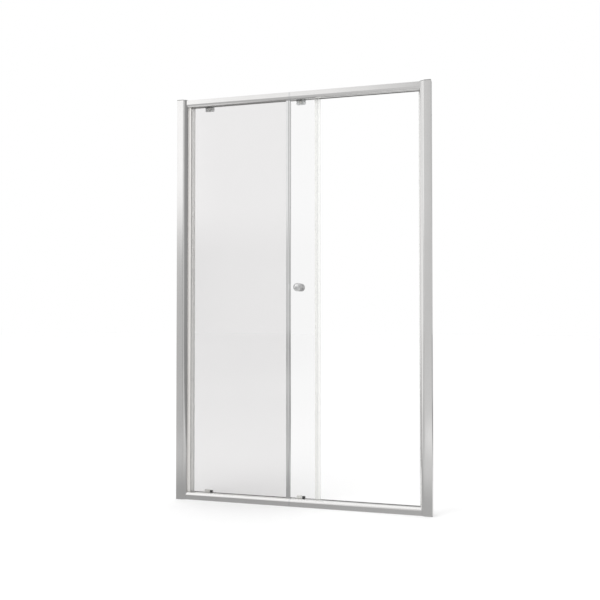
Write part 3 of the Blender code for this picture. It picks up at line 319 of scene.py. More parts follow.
@dataclass(frozen=True)
class Finish:
    """What all finishes share: two near colours in soft patches, and a gloss that a fine grit breaks.

    The grit is spots, or lines along a run where there is one. Sizes are in millimetres.
    """

    name: str
    colour: str
    shade: str
    gloss: Pair
    grit: float
    relief: float
    patch: float = 90.0
    lines_along: Run | None = None
    line: float = 500.0
    metallic: float = 0.0
    transmission: float = 0.0
    ior: float = 1.5
    subsurface: float = 0.0
    scatter: Spot = (1.0, 0.9, 0.8)
    scatter_depth: float = 1.5
    grit_detail: float = 3.0
    grit_span: Pair = (0.3, 0.7)
    patch_detail: float = 2.0

    def material(self) -> bpy.types.Material:
        """Make the material at its first use.

        Returns:
            The finish as a material.
        """
        if self.name in bpy.data.materials:
            return bpy.data.materials[self.name]
        material = bpy.data.materials.new(self.name)
        material.use_nodes = True
        tree = material.node_tree
        shader = tree.nodes["Principled BSDF"]
        values = {"Metallic": self.metallic, "Transmission Weight": self.transmission}
        if not self.metallic:
            values["IOR"] = self.ior
        if self.subsurface:
            values |= {"Subsurface Weight": self.subsurface, "Subsurface Radius": self.scatter}
            values["Subsurface Scale"] = self.scatter_depth * MM
        for socket, value in values.items():
            shader.inputs[socket].default_value = value
        self.pattern(tree, shader)
        return material

    def pattern(self, tree: bpy.types.NodeTree, shader: bpy.types.Node) -> None:
        """Link the colour patches, the gloss and the relief to the shader.

        Args:
            tree: The material's node tree.
            shader: Its Principled shader.
        """
        place = add_node(tree, "TexCoord").outputs["Object"]
        scale = [1 / (self.grit * MM)] * 3
        if self.lines_along:
            scale[self.lines_along.value] = 1 / (self.line * MM)
        stretched = add_node(tree, "Mapping", {"Vector": place, "Scale": scale}).outputs[0]
        values = {"Vector": stretched, "Scale": 1.0, "Detail": self.grit_detail}
        grit = add_node(tree, "TexNoise", values).outputs[0]
        values = {"Vector": place, "Scale": 1 / (self.patch * MM), "Detail": self.patch_detail}
        patch = add_node(tree, "TexNoise", values).outputs[0]
        colours = {0: patch, 6: linear(self.colour), 7: linear(self.shade)}
        colour = add_node(tree, "Mix", colours, data_type="RGBA").outputs[2]
        relief = add_node(tree, "Bump", {"Height": grit, "Distance": self.relief * MM}).outputs[0]
        gloss = add_node(tree, "MapRange", ranged(grit, *self.grit_span, *self.gloss)).outputs[0]
        for socket, value in (("Base Color", colour), ("Roughness", gloss), ("Normal", relief)):
            tree.links.new(value, shader.inputs[socket])


@dataclass(frozen=True)
class ClearFinish(Finish):
    """A finish that light passes: its shadow is a tint, and a share of the light goes straight through."""

    transmission: float = 1.0
    straight: float = 0.0

    def pattern(self, tree: bpy.types.NodeTree, shader: bpy.types.Node) -> None:
        """Add the shared pattern, and a tint without bending for shadow rays and the straight share.

        Args:
            tree: The material's node tree.
            shader: Its Principled shader.
        """
        super().pattern(tree, shader)
        clear = add_node(tree, "BsdfTransparent", {"Color": linear(self.colour)}).outputs[0]
        share = {0: add_node(tree, "LightPath").outputs["Is Shadow Ray"], 1: self.straight}
        share = add_node(tree, "Math", share, operation="MAXIMUM").outputs[0]
        both = add_node(tree, "MixShader", {0: share, 1: shader.outputs[0], 2: clear}).outputs[0]
        tree.links.new(both, tree.nodes["Material Output"].inputs["Surface"])


# Aluminium drawn through a die, polished and anodised: a bright soft mirror with faint lines along the
# bar. Die lines are 0.1 mm apart, and are drawn 1.6 mm apart so that a close view shows them.
ALUMINIUM_POST, ALUMINIUM_RAIL = (
    Finish(
        f"bright_anodised_aluminium_{word}", "#f8f7f6", "#f2f1f0", (0.12, 0.18), 1.6, 0.006,
        lines_along=run, metallic=1.0,
    )
    for word, run in (("post", Run.Z), ("rail", Run.X))
)
# Chrome plate on a turned or drawn part: a sharp neutral mirror with a slight haze from wiping
CHROME = Finish("chrome_plate", "#f1f1f1", "#eaeaea", (0.05, 0.09), 5.0, 0.003, patch=30.0, metallic=1.0)
# Stainless steel, turned: greyer than chrome and softer in its reflections
STEEL = Finish(
    "turned_stainless_steel", "#d9d7d4", "#cac8c5", (0.22, 0.34), 0.7, 0.006, patch=12.0, metallic=1.0
)
# Hardened bearing steel, ground: a darker, warmer mirror
BEARING = Finish(
    "ground_bearing_steel", "#b9b6b1", "#a9a6a1", (0.12, 0.2), 0.5, 0.002, patch=5.0, metallic=1.0
)
# Toughened float glass: clear, with faces that are almost perfect and a breath of grey
FIXED_GLASS, SLIDING_GLASS = (
    ClearFinish(f"toughened_glass_{word}", colour, shade, (0.0, 0.003), 300.0, 0.01, patch=700.0)
    for word, colour, shade in (("fixed", "#f3f2f2", "#f2f1f1"), ("sliding", "#fafafa", "#f9f9f9"))
)
# The same glass where it is ground and polished: the edge shows its green depth
GLASS_EDGE = ClearFinish("polished_glass_edge", "#d8e6e1", "#ccddd6", (0.05, 0.14), 3.0, 0.004, patch=40.0)
# Soft vinyl, extruded: milky, with a waxy gloss, and half the light comes straight through
VINYL = ClearFinish(
    "soft_milky_vinyl", "#f9f9f8", "#f6f6f5", (0.24, 0.3), 8.0, 0.002,
    patch=120.0, transmission=0.0, ior=1.4, straight=0.5,
)
# The firmer vinyl of the gaskets, which are thick enough to stop the light. Its colour is darker than the seals'
# vinyl as painted shade for the glazing slots that the gaskets sit in
GASKET = Finish("firm_milky_vinyl", "#e6e4e1", "#e2e0dd", (0.24, 0.3), 8.0, 0.002, patch=120.0, ior=1.4)
# Nylon as it comes from the mould: milky white, satin, and nearly half the light comes through
WHITE_NYLON = ClearFinish(
    "milky_moulded_nylon", "#fbfbf9", "#f6f6f3", (0.3, 0.42), 0.8, 0.004,
    patch=18.0, transmission=0.3, ior=1.4, straight=0.45,
)
# Acetal tyres: a shade creamier than the guides, and smooth from the track
TYRE = Finish(
    "turned_acetal", "#e2e1da", "#d9d7cf", (0.28, 0.4), 0.6, 0.004, patch=9.0, ior=1.48, subsurface=0.1
)
# ABS moulded in grey, satin from an eroded mould: dark for the caps, and for the roller bodies a grey painted
# almost white, as painted light against the shade that they get behind the panes and under the top rail
GREY_ABS_PAINTED_LIGHT = Finish("satin_grey_abs", "#eff1f0", "#eaeceb", (0.34, 0.46), 0.9, 0.01, patch=20.0, ior=1.54)
CAP_ABS = Finish("satin_dark_grey_abs", "#858584", "#7d7d7c", (0.34, 0.46), 0.9, 0.01, patch=20.0, ior=1.54)
# Nylon in black, for the button that a thumb presses
BLACK_NYLON = Finish(
    "black_moulded_nylon", "#1c1d1f", "#242527", (0.32, 0.46), 0.7, 0.01, patch=10.0, ior=1.53
)
# EPDM, moulded: matt and dark
RUBBER = Finish("moulded_epdm_rubber", "#393a3a", "#434444", (0.72, 0.85), 0.8, 0.015, patch=8.0, ior=1.52)


def leave_edit_mode() -> None:
    """Go to object mode with nothing selected."""
    if bpy.context.object and bpy.context.object.mode != "OBJECT":
        bpy.ops.object.mode_set(mode="OBJECT")
    bpy.ops.object.select_all(action="DESELECT")


class Piece:
    """One piece while it is modelled: a mesh object that stays at the origin."""

    # A cross recess in a screw's head: half its length, half its slots' width, and its depth
    recess: Pair = (1.9, 0.45)
    recess_depth: float = 1.2
    # The narrow flat that is ground along the edges of glass
    arris: float = 0.6
    # How much the wall of a hollow leans, as a share of its depth
    draft: float = 0.3
    # A thread's depth as a share of its pitch
    flank: float = 0.3

    def __init__(self, finish: Finish) -> None:
        """Start with an empty mesh.

        Args:
            finish: What the piece is made of.
        """
        leave_edit_mode()
        bpy.ops.mesh.primitive_plane_add(size=SEED)
        self.thing = bpy.context.object
        self.thing.data.materials.append(finish.material())
        self.edit("VERT")
        bpy.ops.mesh.delete(type="VERT")

    def wake(self) -> None:
        """Make the piece the only selected and the active object."""
        leave_edit_mode()
        self.thing.select_set(True)
        bpy.context.view_layer.objects.active = self.thing

    def edit(self, kind: str, action: str = "SELECT") -> None:
        """Open the piece in edit mode with all or nothing selected.

        Args:
            kind: What is selected: VERT, EDGE or FACE.
            action: SELECT or DESELECT.
        """
        self.wake()
        bpy.ops.object.mode_set(mode="EDIT")
        bpy.ops.mesh.select_mode(type=kind)
        bpy.ops.mesh.select_all(action=action)

    def trace(self, points: Sequence[Vector], closed: bool = True) -> None:
        """Draw a line by extruding one vertex from point to point.

        Args:
            points: Where the line goes.
            closed: Whether it goes back to its start.
        """
        self.edit("VERT", "DESELECT")
        bpy.ops.mesh.primitive_plane_add(size=SEED, location=points[0])
        bpy.ops.mesh.merge(type="CENTER")
        route = [*points, points[0]] if closed else points
        for here, there in zip(route, route[1:]):
            bpy.ops.mesh.extrude_region_move(TRANSFORM_OT_translate={"value": there - here})

    def merge(self) -> None:
        """Merge what lies in one place and leave everything selected."""
        self.edit("VERT")
        bpy.ops.mesh.remove_doubles(threshold=NEAR)
        bpy.ops.mesh.select_all(action="SELECT")

    def face_out(self) -> None:
        """Merge doubles and turn every face outwards."""
        self.merge()
        bpy.ops.mesh.normals_make_consistent(inside=False)
        leave_edit_mode()

    def apply(self, kind: str, **settings) -> None:
        """Add a modifier and apply it.

        Args:
            kind: The modifier's type.
            **settings: Its properties.
        """
        self.wake()
        modifier = self.thing.modifiers.new(kind.lower(), kind)
        for name, value in settings.items():
            setattr(modifier, name, value)
        bpy.ops.object.modifier_apply(modifier=modifier.name)

    def combine(self, helper: "Piece", operation: str = "DIFFERENCE") -> None:
        """Cut a helper from the piece, or join it on, and remove the helper.

        Args:
            helper: A closed piece.
            operation: DIFFERENCE or UNION.
        """
        self.face_out()
        helper.face_out()
        self.apply("BOOLEAN", operation=operation, solver="EXACT", object=helper.thing)
        helper.discard()

    def drill(self, run: Run, middle: Spot, radius: float, length: float) -> None:
        """Bore a round hole.

        Args:
            run: The axis that it runs along.
            middle: The spot of its middle.
            radius: Its radius.
            length: Its whole length.
        """
        half = length / 2
        profile = [(0, -half), (radius, -half), (radius, half), (0, half)]
        self.combine(turned(STEEL, run, profile, middle, SMALL_SIDES))

    def round_edges(self, width: float, segments: int = 2) -> None:
        """Round every edge that turns sharply.

        Args:
            width: How wide the rounding is, in millimetres.
            segments: Its steps.
        """
        self.face_out()
        settings = {"limit_method": "ANGLE", "angle_limit": SHARP_TURN, "use_clamp_overlap": False}
        self.apply("BEVEL", width=width * MM, segments=segments, **settings)

    def sink(self, test: Test, border: float, depth: float) -> None:
        """Inset the faces that pass a test and press them in.

        Args:
            test: Picks the faces by their middle and normal.
            border: How much of them stays, in millimetres.
            depth: How deep the rest goes, in millimetres.
        """
        self.face_out()
        self.edit("FACE", "DESELECT")
        bpy.ops.object.mode_set(mode="OBJECT")
        for face in self.thing.data.polygons:
            face.select = test(face.center, face.normal)
        bpy.ops.object.mode_set(mode="EDIT")
        bpy.ops.mesh.inset(thickness=border * MM, depth=0)
        bpy.ops.mesh.inset(thickness=self.draft * depth * MM, depth=-depth * MM)
        leave_edit_mode()

    def thread(self, run: Run, origin: Spot, span: Pair, crest: float, pitch: float) -> None:
        """Cut a helical thread in a shank that has rings a quarter pitch apart.

        Args:
            run: The shank's axis.
            origin: The spot that distances along it count from.
            span: Where the thread starts and ends, in millimetres.
            crest: The shank's radius in millimetres.
            pitch: The thread's pitch in millimetres.
        """
        leave_edit_mode()
        centre = PLAN.spot(*origin)
        for vertex in self.thing.data.vertices:
            offset = (vertex.co - centre) / MM
            along = offset.dot(run.way)
            out = offset - run.way * along
            if abs(out.length - crest) > NEAR / MM or not span[0] < along < span[1]:
                continue
            side = run.way.cross(run.across)
            angle = math.atan2(out.dot(side), out.dot(run.across))
            phase = (along / pitch - angle / math.tau) % 1
            depth = self.flank * pitch * abs(2 * phase - 1)
            vertex.co -= out.normalized() * depth * MM

    def cross_recess(self, run: Run, origin: Spot, face: float, inward: int) -> None:
        """Cut a cross recess in a screw's head.

        Args:
            run: The screw's axis.
            origin: The spot that distances along it count from.
            face: Where the head's face is.
            inward: The way from there into the head, 1 or -1.
        """
        start, end = sorted((face - inward * PAST, face + inward * self.recess_depth))
        for half in (self.recess, self.recess[::-1]):
            low, high = run.filled([-size for size in half], start), run.filled(half, end)
            corners = ([here + step for here, step in zip(origin, corner)] for corner in (low, high))
            self.combine(block(STEEL, *corners))

    def paint(self, finish: Finish, test: Test) -> None:
        """Give another finish to some faces.

        Args:
            finish: The other finish.
            test: Picks the faces by their middle and normal.
        """
        self.face_out()
        self.thing.data.materials.append(finish.material())
        number = len(self.thing.data.materials) - 1
        for face in self.thing.data.polygons:
            if test(face.center, face.normal):
                face.material_index = number

    def grind(self) -> None:
        """Grind the edges of a glass pane, and give them their own look."""
        self.round_edges(self.arris, 1)
        self.paint(GLASS_EDGE, lambda middle, normal: abs(normal.y) < FACING)

    def copied(self, step: Spot, turn: bool = False) -> "Piece":
        """A copy with its own mesh.

        Args:
            step: How far from the piece it lies, in millimetres.
            turn: Whether it is half turned about the frame's upright middle line first.

        Returns:
            The copy, which can be shaped further.
        """
        self.wake()
        bpy.ops.object.duplicate()
        other = Piece.__new__(Piece)
        other.thing = bpy.context.object
        other.edit("VERT")
        if turn:
            bpy.ops.transform.rotate(value=math.pi, orient_axis="Z", center_override=(0, 0, 0))
        bpy.ops.transform.translate(value=Vector(step) * MM)
        leave_edit_mode()
        return other

    def discard(self) -> None:
        """Remove the piece, when it was a cutter or all its copies are done."""
        bpy.data.objects.remove(self.thing)

    def done(self, node: str) -> bpy.types.Object:
        """Smooth the piece and put it on its body, in place of its node.

        Args:
            node: The node that it stands for.

        Returns:
            The finished object.
        """
        self.face_out()
        self.wake()
        bpy.ops.object.shade_smooth_by_angle(angle=SHARP_TURN)
        self.apply("WEIGHTED_NORMAL", mode="FACE_AREA", keep_sharp=True)
        self.thing.name = self.thing.data.name = f"{node}_detailed"
        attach(self.thing, BODY_OF[node])
        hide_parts(node)
        LOG.info("%s: %d faces", self.thing.name, len(self.thing.data.polygons))
        return self.thing


def bar(finish: Finish, run: Run, outline: Outline, span: Pair, hollow: Outline = ()) -> Piece:
    """A straight bar with a drawn section.

    Args:
        finish: Its finish.
        run: The axis that it runs along.
        outline: The section's corners: a spot's two coordinates across the run.
        span: Where it starts and ends along the run.
        hollow: The corners of a hollow right through it.

    Returns:
        The bar, with closed ends.
    """
    piece = Piece(finish)
    for loop in filter(None, (outline, hollow)):
        piece.trace([PLAN.spot(*run.filled(pair, span[0])) for pair in loop])
    piece.merge()
    if hollow:
        bpy.ops.mesh.fill(use_beauty=True)
    else:
        bpy.ops.mesh.edge_face_add()
    bpy.ops.mesh.select_all(action="SELECT")
    bpy.ops.mesh.extrude_region_move(TRANSFORM_OT_translate={"value": run.way * ((span[1] - span[0]) * MM)})
    leave_edit_mode()
    return piece


def block(finish: Finish, low: Spot, high: Spot) -> Piece:
    """A box between two corners, as a start for other shapes."""
    return bar(finish, Run.Z, oblong(low[:2], high[:2]), (low[2], high[2]))


def upright(finish: Finish, outline: Outline, corner: float, span: Pair = PLAN.seal_span) -> Piece:
    """A bar that stands in the frame.

    Args:
        finish: Its finish.
        outline: Its section's (from the left-hand wall, depth) corners.
        corner: How much they are rounded.
        span: Its lowest and highest level.

    Returns:
        The bar.
    """
    return bar(finish, Run.Z, softened(outline, corner), span)


def turned(
    finish: Finish, run: Run, profile: Outline, origin: Spot, sides: int = ROUND_SIDES, ring: bool = False
) -> Piece:
    """A piece turned on a lathe.

    Args:
        finish: Its finish.
        run: The axis that it turns about.
        profile: (radius, distance along the axis) points.
        origin: The spot on the axis that the distances count from.
        sides: The steps round it.
        ring: Whether the profile is closed and clear of the axis.

    Returns:
        The turned piece.
    """
    piece = Piece(finish)
    centre = PLAN.spot(*origin)
    points = [centre + (run.across * radius + run.way * along) * MM for radius, along in profile]
    piece.trace(points, closed=ring)
    piece.merge()
    bpy.ops.mesh.spin(steps=sides, angle=math.tau, center=centre, axis=run.way)
    leave_edit_mode()
    return piece


def softened_copy(node: str, finish: Finish, width: float) -> Piece:
    """A merged copy of a node of plain faces, with its edges rounded.

    Args:
        node: The node that is copied.
        finish: The copy's finish.
        width: How wide the rounding is.

    Returns:
        The copy, which can be shaped further.
    """
    piece = Piece(finish)
    leave_edit_mode()
    piece.thing.data = frame["nodes"][node].data.copy()
    piece.thing.data.materials.clear()
    piece.thing.data.materials.append(finish.material())
    piece.merge()
    bpy.ops.mesh.customdata_custom_splitnormals_clear()
    bpy.ops.mesh.mark_sharp(clear=True)
    bpy.ops.mesh.dissolve_limited(angle_limit=FLAT_TURN)
    leave_edit_mode()
    piece.round_edges(width)
    return piece


def nose_outline(grown: float = 0.0) -> list[Pair]:
    """The jamb's rounded front, from its flat part to the glazing slot, made larger all round."""
    wide, deep = PLAN.nose
    return arc((PLAN.wall_profile, PLAN.slot[0]), (wide + grown, deep + grown), -90, 0)


def in_slot(half: Outline) -> list[Pair]:
    """Fill the width of the glazing slot.

    Args:
        half: Half the outline, as (distance, in from the slot's side) points.

    Returns:
        The whole outline as (distance, depth) points.
    """
    near, far = PLAN.slot
    room = (far - near) / 2 - PLAN.slip
    return mirrored([(along, room - inset) for along, inset in half], (near + far) / 2)


def channel(base: float, floor: float, tip: float, leg: float) -> list[Pair]:
    """A glazing gasket's corners: a base in the slot's bottom and two legs up to their tips."""
    return in_slot([(base, 0), (tip, 0), (tip, leg), (floor, leg)])


def tee(mouth: float, face: float = 1.2, stem: float = 9.0, stem_inset: float = 2.7) -> list[Pair]:
    """A T strip's corners, for a glazing slot whose mouth is at a distance."""
    foot = mouth - face - stem
    return in_slot([(mouth, 0), (mouth - face, 0), (mouth - face, stem_inset), (foot, stem_inset)])


def rings(radius: float, start: float, length: float, pitch: float) -> list[Pair]:
    """A shank's profile with a ring at each quarter pitch, for a thread to be cut in."""
    return [(radius, start + pitch * number / 4) for number in range(int(4 * length / pitch))]


@dataclass
class Post:
    """One side of the frame: the wall profile, the jamb that slides in it, and their cap."""

    side: Side
    top: float = 1896.9
    wall: float = 1.6
    corner: float = 0.5
    hidden_edge: float = 8.0
    slot_floor: float = 40.0
    groove_half: float = 2.6
    groove_floor: float = 49.0
    screw_hole: float = 2.2
    screw_reach: float = 20.0
    port_reach: float = 5.6
    wall_hole: float = 3.0
    wall_reach: float = 6.0
    wall_hole_levels: tuple[float, ...] = (152.0, 874.0, 1748.0)
    cap_bottom: float = 1897.2
    cap_step: float = 1899.0
    cap_corner: float = 0.9
    cap_edge: float = 0.35
    cap_lap: float = 2.0
    peg: tuple[Pair, Pair] = ((9.6, 19.0), (23.6, 29.0))
    peg_span: Pair = (1885.2, 1898.6)

    def build(self) -> None:
        """Model and dress the three pieces."""
        self.wall_profile()
        self.jamb()
        self.cap()

    def extrusion(self, path: Outline) -> Piece:
        """A wall as tall as the posts, with the adjusting screws' holes.

        Args:
            path: Its outer side as (from this side's wall, depth) points.

        Returns:
            The wall.
        """
        outline = softened(walled(path, self.wall), self.corner)
        piece = bar(ALUMINIUM_POST, Run.Z, self.side.section(outline), (0, self.top))
        for _, level in PLAN.screw_levels:
            spot = (self.side.x(PLAN.screw_inset), PLAN.depth, level)
            piece.drill(Run.Y, spot, self.screw_hole, self.screw_reach)
        return piece

    def wall_profile(self) -> None:
        """The U channel that is screwed to the wall, with its three wall holes."""
        wide, deep = PLAN.wall_profile, PLAN.depth
        piece = self.extrusion([(wide, deep), (0, deep), (0, 0), (wide, 0)])
        for level in self.wall_hole_levels:
            spot = (self.side.x(self.wall / 2), deep / 2, level)
            piece.drill(Run.X, spot, self.wall_hole, self.wall_reach)
        piece.done(f"wall_profile_{self.side.value}")

    def jamb(self) -> None:
        """The post: a rounded nose, the glazing slot and the groove for the strike seal."""
        (front, back), (near, far), edge, floor = PLAN.jamb_faces, PLAN.slot, PLAN.jamb, self.groove_floor
        low, high = (PLAN.sliding_middle + sign * self.groove_half for sign in (-1, 1))
        path = [(self.hidden_edge, front), *nose_outline(), (self.slot_floor, near), (self.slot_floor, far)]
        path += [(edge, far), (edge, low), (floor, low), (floor, high), (edge, high), (edge, back)]
        piece = self.extrusion([*path, (self.hidden_edge, back)])
        for rail in Rail:
            spot = (self.side.x(floor - self.wall / 2), PLAN.sliding_middle, rail.level(RailBar.port_level))
            piece.drill(Run.X, spot, self.screw_hole, self.port_reach)
        piece.done(f"jamb_{self.side.value}")

    def cap(self) -> None:
        """The moulded cover, a step lower over the jamb, with a peg into the jamb."""
        lap, (front, back) = PLAN.wall_profile - self.cap_lap, PLAN.jamb_faces
        layers = [(oblong((0, 0), (PLAN.wall_profile, PLAN.depth)), (self.cap_bottom, PLAN.height))]
        low = [(lap, front), *nose_outline(), (PLAN.jamb, back), (lap, back)]
        layers += [(low, (self.cap_bottom, self.cap_step)), (oblong(*self.peg), self.peg_span)]
        piece, *others = (
            bar(CAP_ABS, Run.Z, self.side.section(softened(outline, self.cap_corner)), span)
            for outline, span in layers
        )
        for other in others:
            piece.combine(other, "UNION")
        piece.round_edges(self.cap_edge)
        piece.done(f"jamb_cap_{self.side.value}")


@dataclass
class AdjustingScrews:
    """The six pan-head screws on the shower side that tie each jamb to its wall profile."""

    shank: float = 1.9
    length: float = 8.0
    tip: float = 0.5
    run_out: float = 0.4
    head: float = 3.6
    head_height: float = 2.2
    under_edge: Pair = (0.2, 0.25)
    rim: float = 0.9
    crown: float = 1.3
    pitch: float = 1.0

    def build(self) -> None:
        """Model one screw, its tip towards the front, and copy it to its six places."""
        inset, low, end = PLAN.screw_inset, PLAN.screw_levels[0][1], -self.length
        seat, (inward, upward) = (inset, PLAN.depth + PLAN.slip, low), self.under_edge
        profile = [(0, end), (self.shank - self.tip, end)]
        profile += rings(self.shank, self.pitch / 2 + end, self.length - self.pitch, self.pitch)
        profile += [(self.shank, 0), (self.head - inward, 0), (self.head, upward), (self.head, self.rim)]
        crown = (self.crown, self.head_height - self.rim)
        profile += arc((self.head - self.crown, self.rim), crown, 0, 90, EDGE_STEPS)[1:]
        piece = turned(STEEL, Run.Y, [*profile, (0, self.head_height)], seat, SMALL_SIDES)
        piece.thread(Run.Y, seat, (end + self.run_out, -self.run_out), self.shank, self.pitch)
        piece.cross_recess(Run.Y, seat, self.head_height, -1)
        for side in Side:
            for word, level in PLAN.screw_levels:
                step = (side.x(inset) - inset, 0, level - low)
                piece.copied(step).done(f"jamb_screw_{side.value}_{word}")
        piece.discard()


@dataclass
class RailBar:
    """One rail with what it carries: glazing gasket, infill strip and the end trim's clip."""

    rail: Rail
    setback: float = 7.0
    wall: float = 1.6
    nose_height: float = 14.0
    slot_floor: float = 18.0
    middle_wall: float = 31.1
    port_level: float = 5.2
    port_top: float = 8.8
    port_back: float = 39.0
    rear_wall: float = 46.4
    ledge_front: float = 41.4
    ledge_inner: float = 31.9
    rib_tip: float = 29.7
    rib_half: float = 0.65
    corner: float = 0.35
    cope_margin: float = 2.0
    port_hole: float = 2.2
    port_reach: float = 22.6
    gasket_leg: float = 0.9
    gasket_top: float = 33.0
    gasket_start: float = 52.6
    strip_corner: float = 0.3
    clip: float = 0.6
    clip_corner: float = 0.2
    clip_edge: float = 0.15
    clip_setback: float = 0.8
    clip_span: Pair = (551.3, 558.5)
    strip_span: Pair = (558.8, 1147.4)

    def build(self) -> None:
        """Model and dress the rail and the three strips on it."""
        self.bar()
        self.gasket()
        self.infill_strip()
        self.trim_clip()

    def nose(self, grown: float, last: float = 90.0) -> list[Pair]:
        """The rounded front edge, made larger all round."""
        centre = (PLAN.slot[0], PLAN.rail_height - self.nose_height)
        return arc(centre, (PLAN.slot[0] - self.setback + grown, self.nose_height + grown), 180, last)

    def section(self) -> tuple[list[Pair], list[Pair]]:
        """The glazing slot, the door channel, the ledge and the rib that the wheels run on.

        Returns:
            The outline and the hollow, as (depth, height in the section) points.
        """
        high, (near, far), wall, ledge = PLAN.rail_height, PLAN.slot, self.wall, self.ledge_inner
        outline = [(self.setback, 0), *self.nose(0), (near, self.slot_floor), (far, self.slot_floor)]
        outline += [(far, high), (self.middle_wall, high), (self.middle_wall, self.port_top)]
        outline += [(self.port_back, self.port_top), (self.port_back, wall), (self.rear_wall, wall)]
        right, left = PLAN.wheel_depth + self.rib_half, PLAN.wheel_depth - self.rib_half
        outline += [(self.rear_wall, ledge), (right, ledge), (right, self.rib_tip), (left, self.rib_tip)]
        outline += [(left, ledge), (self.ledge_front, ledge)]
        outline += [(self.ledge_front, high), (PLAN.depth, high), (PLAN.depth, 0)]
        meeting = 180 - math.degrees(math.acos(wall / (near - self.setback - wall)))
        under = self.slot_floor - wall
        hollow = [*self.nose(-wall, meeting), (near - wall, under), (far, under)]
        return softened(outline, self.corner), [*hollow, (far, wall), (self.setback + wall, wall)]

    def bar(self) -> None:
        """The rail, its ends coped to the jambs and bored for the corner screws."""
        outline, hollow = (self.rail.section(loop) for loop in self.section())
        ends = (PLAN.wall_profile, PLAN.width - PLAN.wall_profile)
        piece = bar(ALUMINIUM_RAIL, Run.X, outline, ends, hollow)
        margin, behind = self.cope_margin, PLAN.depth + self.cope_margin
        cope = [(PLAN.wall_profile - margin, PLAN.jamb_faces[0] - PLAN.slip), *nose_outline(PLAN.slip)]
        cope += [(PLAN.jamb + PLAN.slip, behind), (PLAN.wall_profile - margin, behind)]
        span = sorted(map(self.rail.level, (-margin, PLAN.rail_height + margin)))
        for side in Side:
            piece.combine(bar(STEEL, Run.Z, side.section(cope), span))
            across = side.x(PLAN.jamb - margin + self.port_reach / 2)
            mouth = (across, PLAN.sliding_middle, self.rail.level(self.port_level))
            piece.drill(Run.X, mouth, self.port_hole, self.port_reach)
        piece.done(f"{self.rail.value}_rail")

    def strip(self, finish: Finish, outline: Outline, span: Pair) -> Piece:
        """A bar in the rail between two distances from the left-hand wall."""
        return bar(finish, Run.X, self.rail.section(outline), span)

    def gasket(self) -> None:
        """The soft channel between the fixed pane's edge and the rail."""
        base = self.slot_floor + PLAN.slip
        outline = swapped(channel(base, base + self.gasket_leg, self.gasket_top, self.gasket_leg))
        piece = self.strip(GASKET, softened(outline, self.strip_corner), (self.gasket_start, PLAN.fixed_edge))
        piece.done(f"fixed_gasket_{self.rail.value}")

    def infill_strip(self) -> None:
        """The strip that closes the unused stretch of the glazing slot."""
        outline = softened(swapped(tee(PLAN.rail_height)), self.strip_corner)
        self.strip(ALUMINIUM_RAIL, outline, self.strip_span).done(f"infill_{self.rail.value}")

    def trim_clip(self) -> None:
        """The narrow strap across the rail that ends under the end trim."""
        path = [(self.setback - PLAN.slip, self.clip_setback), *self.nose(PLAN.slip)]
        path += [(PLAN.slot[1] - PLAN.slip, PLAN.rail_height + PLAN.slip)]
        piece = self.strip(CHROME, softened(walled(path, self.clip), self.clip_corner), self.clip_span)
        piece.round_edges(self.clip_edge)
        piece.done(f"trim_clip_{self.rail.value}")


@dataclass
class CornerScrews:
    """The four screws that hold the rails' ends to the jambs."""

    seat: float = 44.7
    head: float = 3.7
    head_height: float = 2.4
    crown: Pair = (1.5, 1.4)
    shank: float = 1.9
    length: float = 27.6
    tip: Pair = (0.6, 1.5)
    run_out: Pair = (0.1, 0.5)
    pitch: float = 1.2

    def build(self) -> None:
        """Model one screw, its tip towards the frame's middle, and copy it to its four places."""
        low, high = (rail.level(RailBar.port_level) for rail in Rail)
        start, bearing, end = (self.seat, PLAN.sliding_middle, low), self.head_height, self.length
        crown = arc((self.head - self.crown[0], self.crown[1]), self.crown, -90, 0, EDGE_STEPS)
        profile = [(0, 0), *crown, (self.head, bearing), (self.shank, bearing)]
        profile += rings(self.shank, bearing + self.pitch / 4, end - bearing - self.tip[1], self.pitch)
        profile += [(self.shank - self.tip[0], end), (0, end)]
        piece = turned(STEEL, Run.X, profile, start, SMALL_SIDES)
        threaded = (bearing + self.run_out[0], end - self.run_out[1])
        piece.thread(Run.X, start, threaded, self.shank, self.pitch)
        piece.cross_recess(Run.X, start, 0, 1)
        for side in Side:
            # A half turn puts the screw as far before the middle as it was behind
            back = 2 * PLAN.sliding_middle - PLAN.depth if side is Side.RIGHT else 0
            for rail in Rail:
                step = (0, back, high - low if rail is Rail.TOP else 0)
                piece.copied(step, side is Side.RIGHT).done(f"rail_screw_{rail.value}_{side.value}")
        piece.discard()


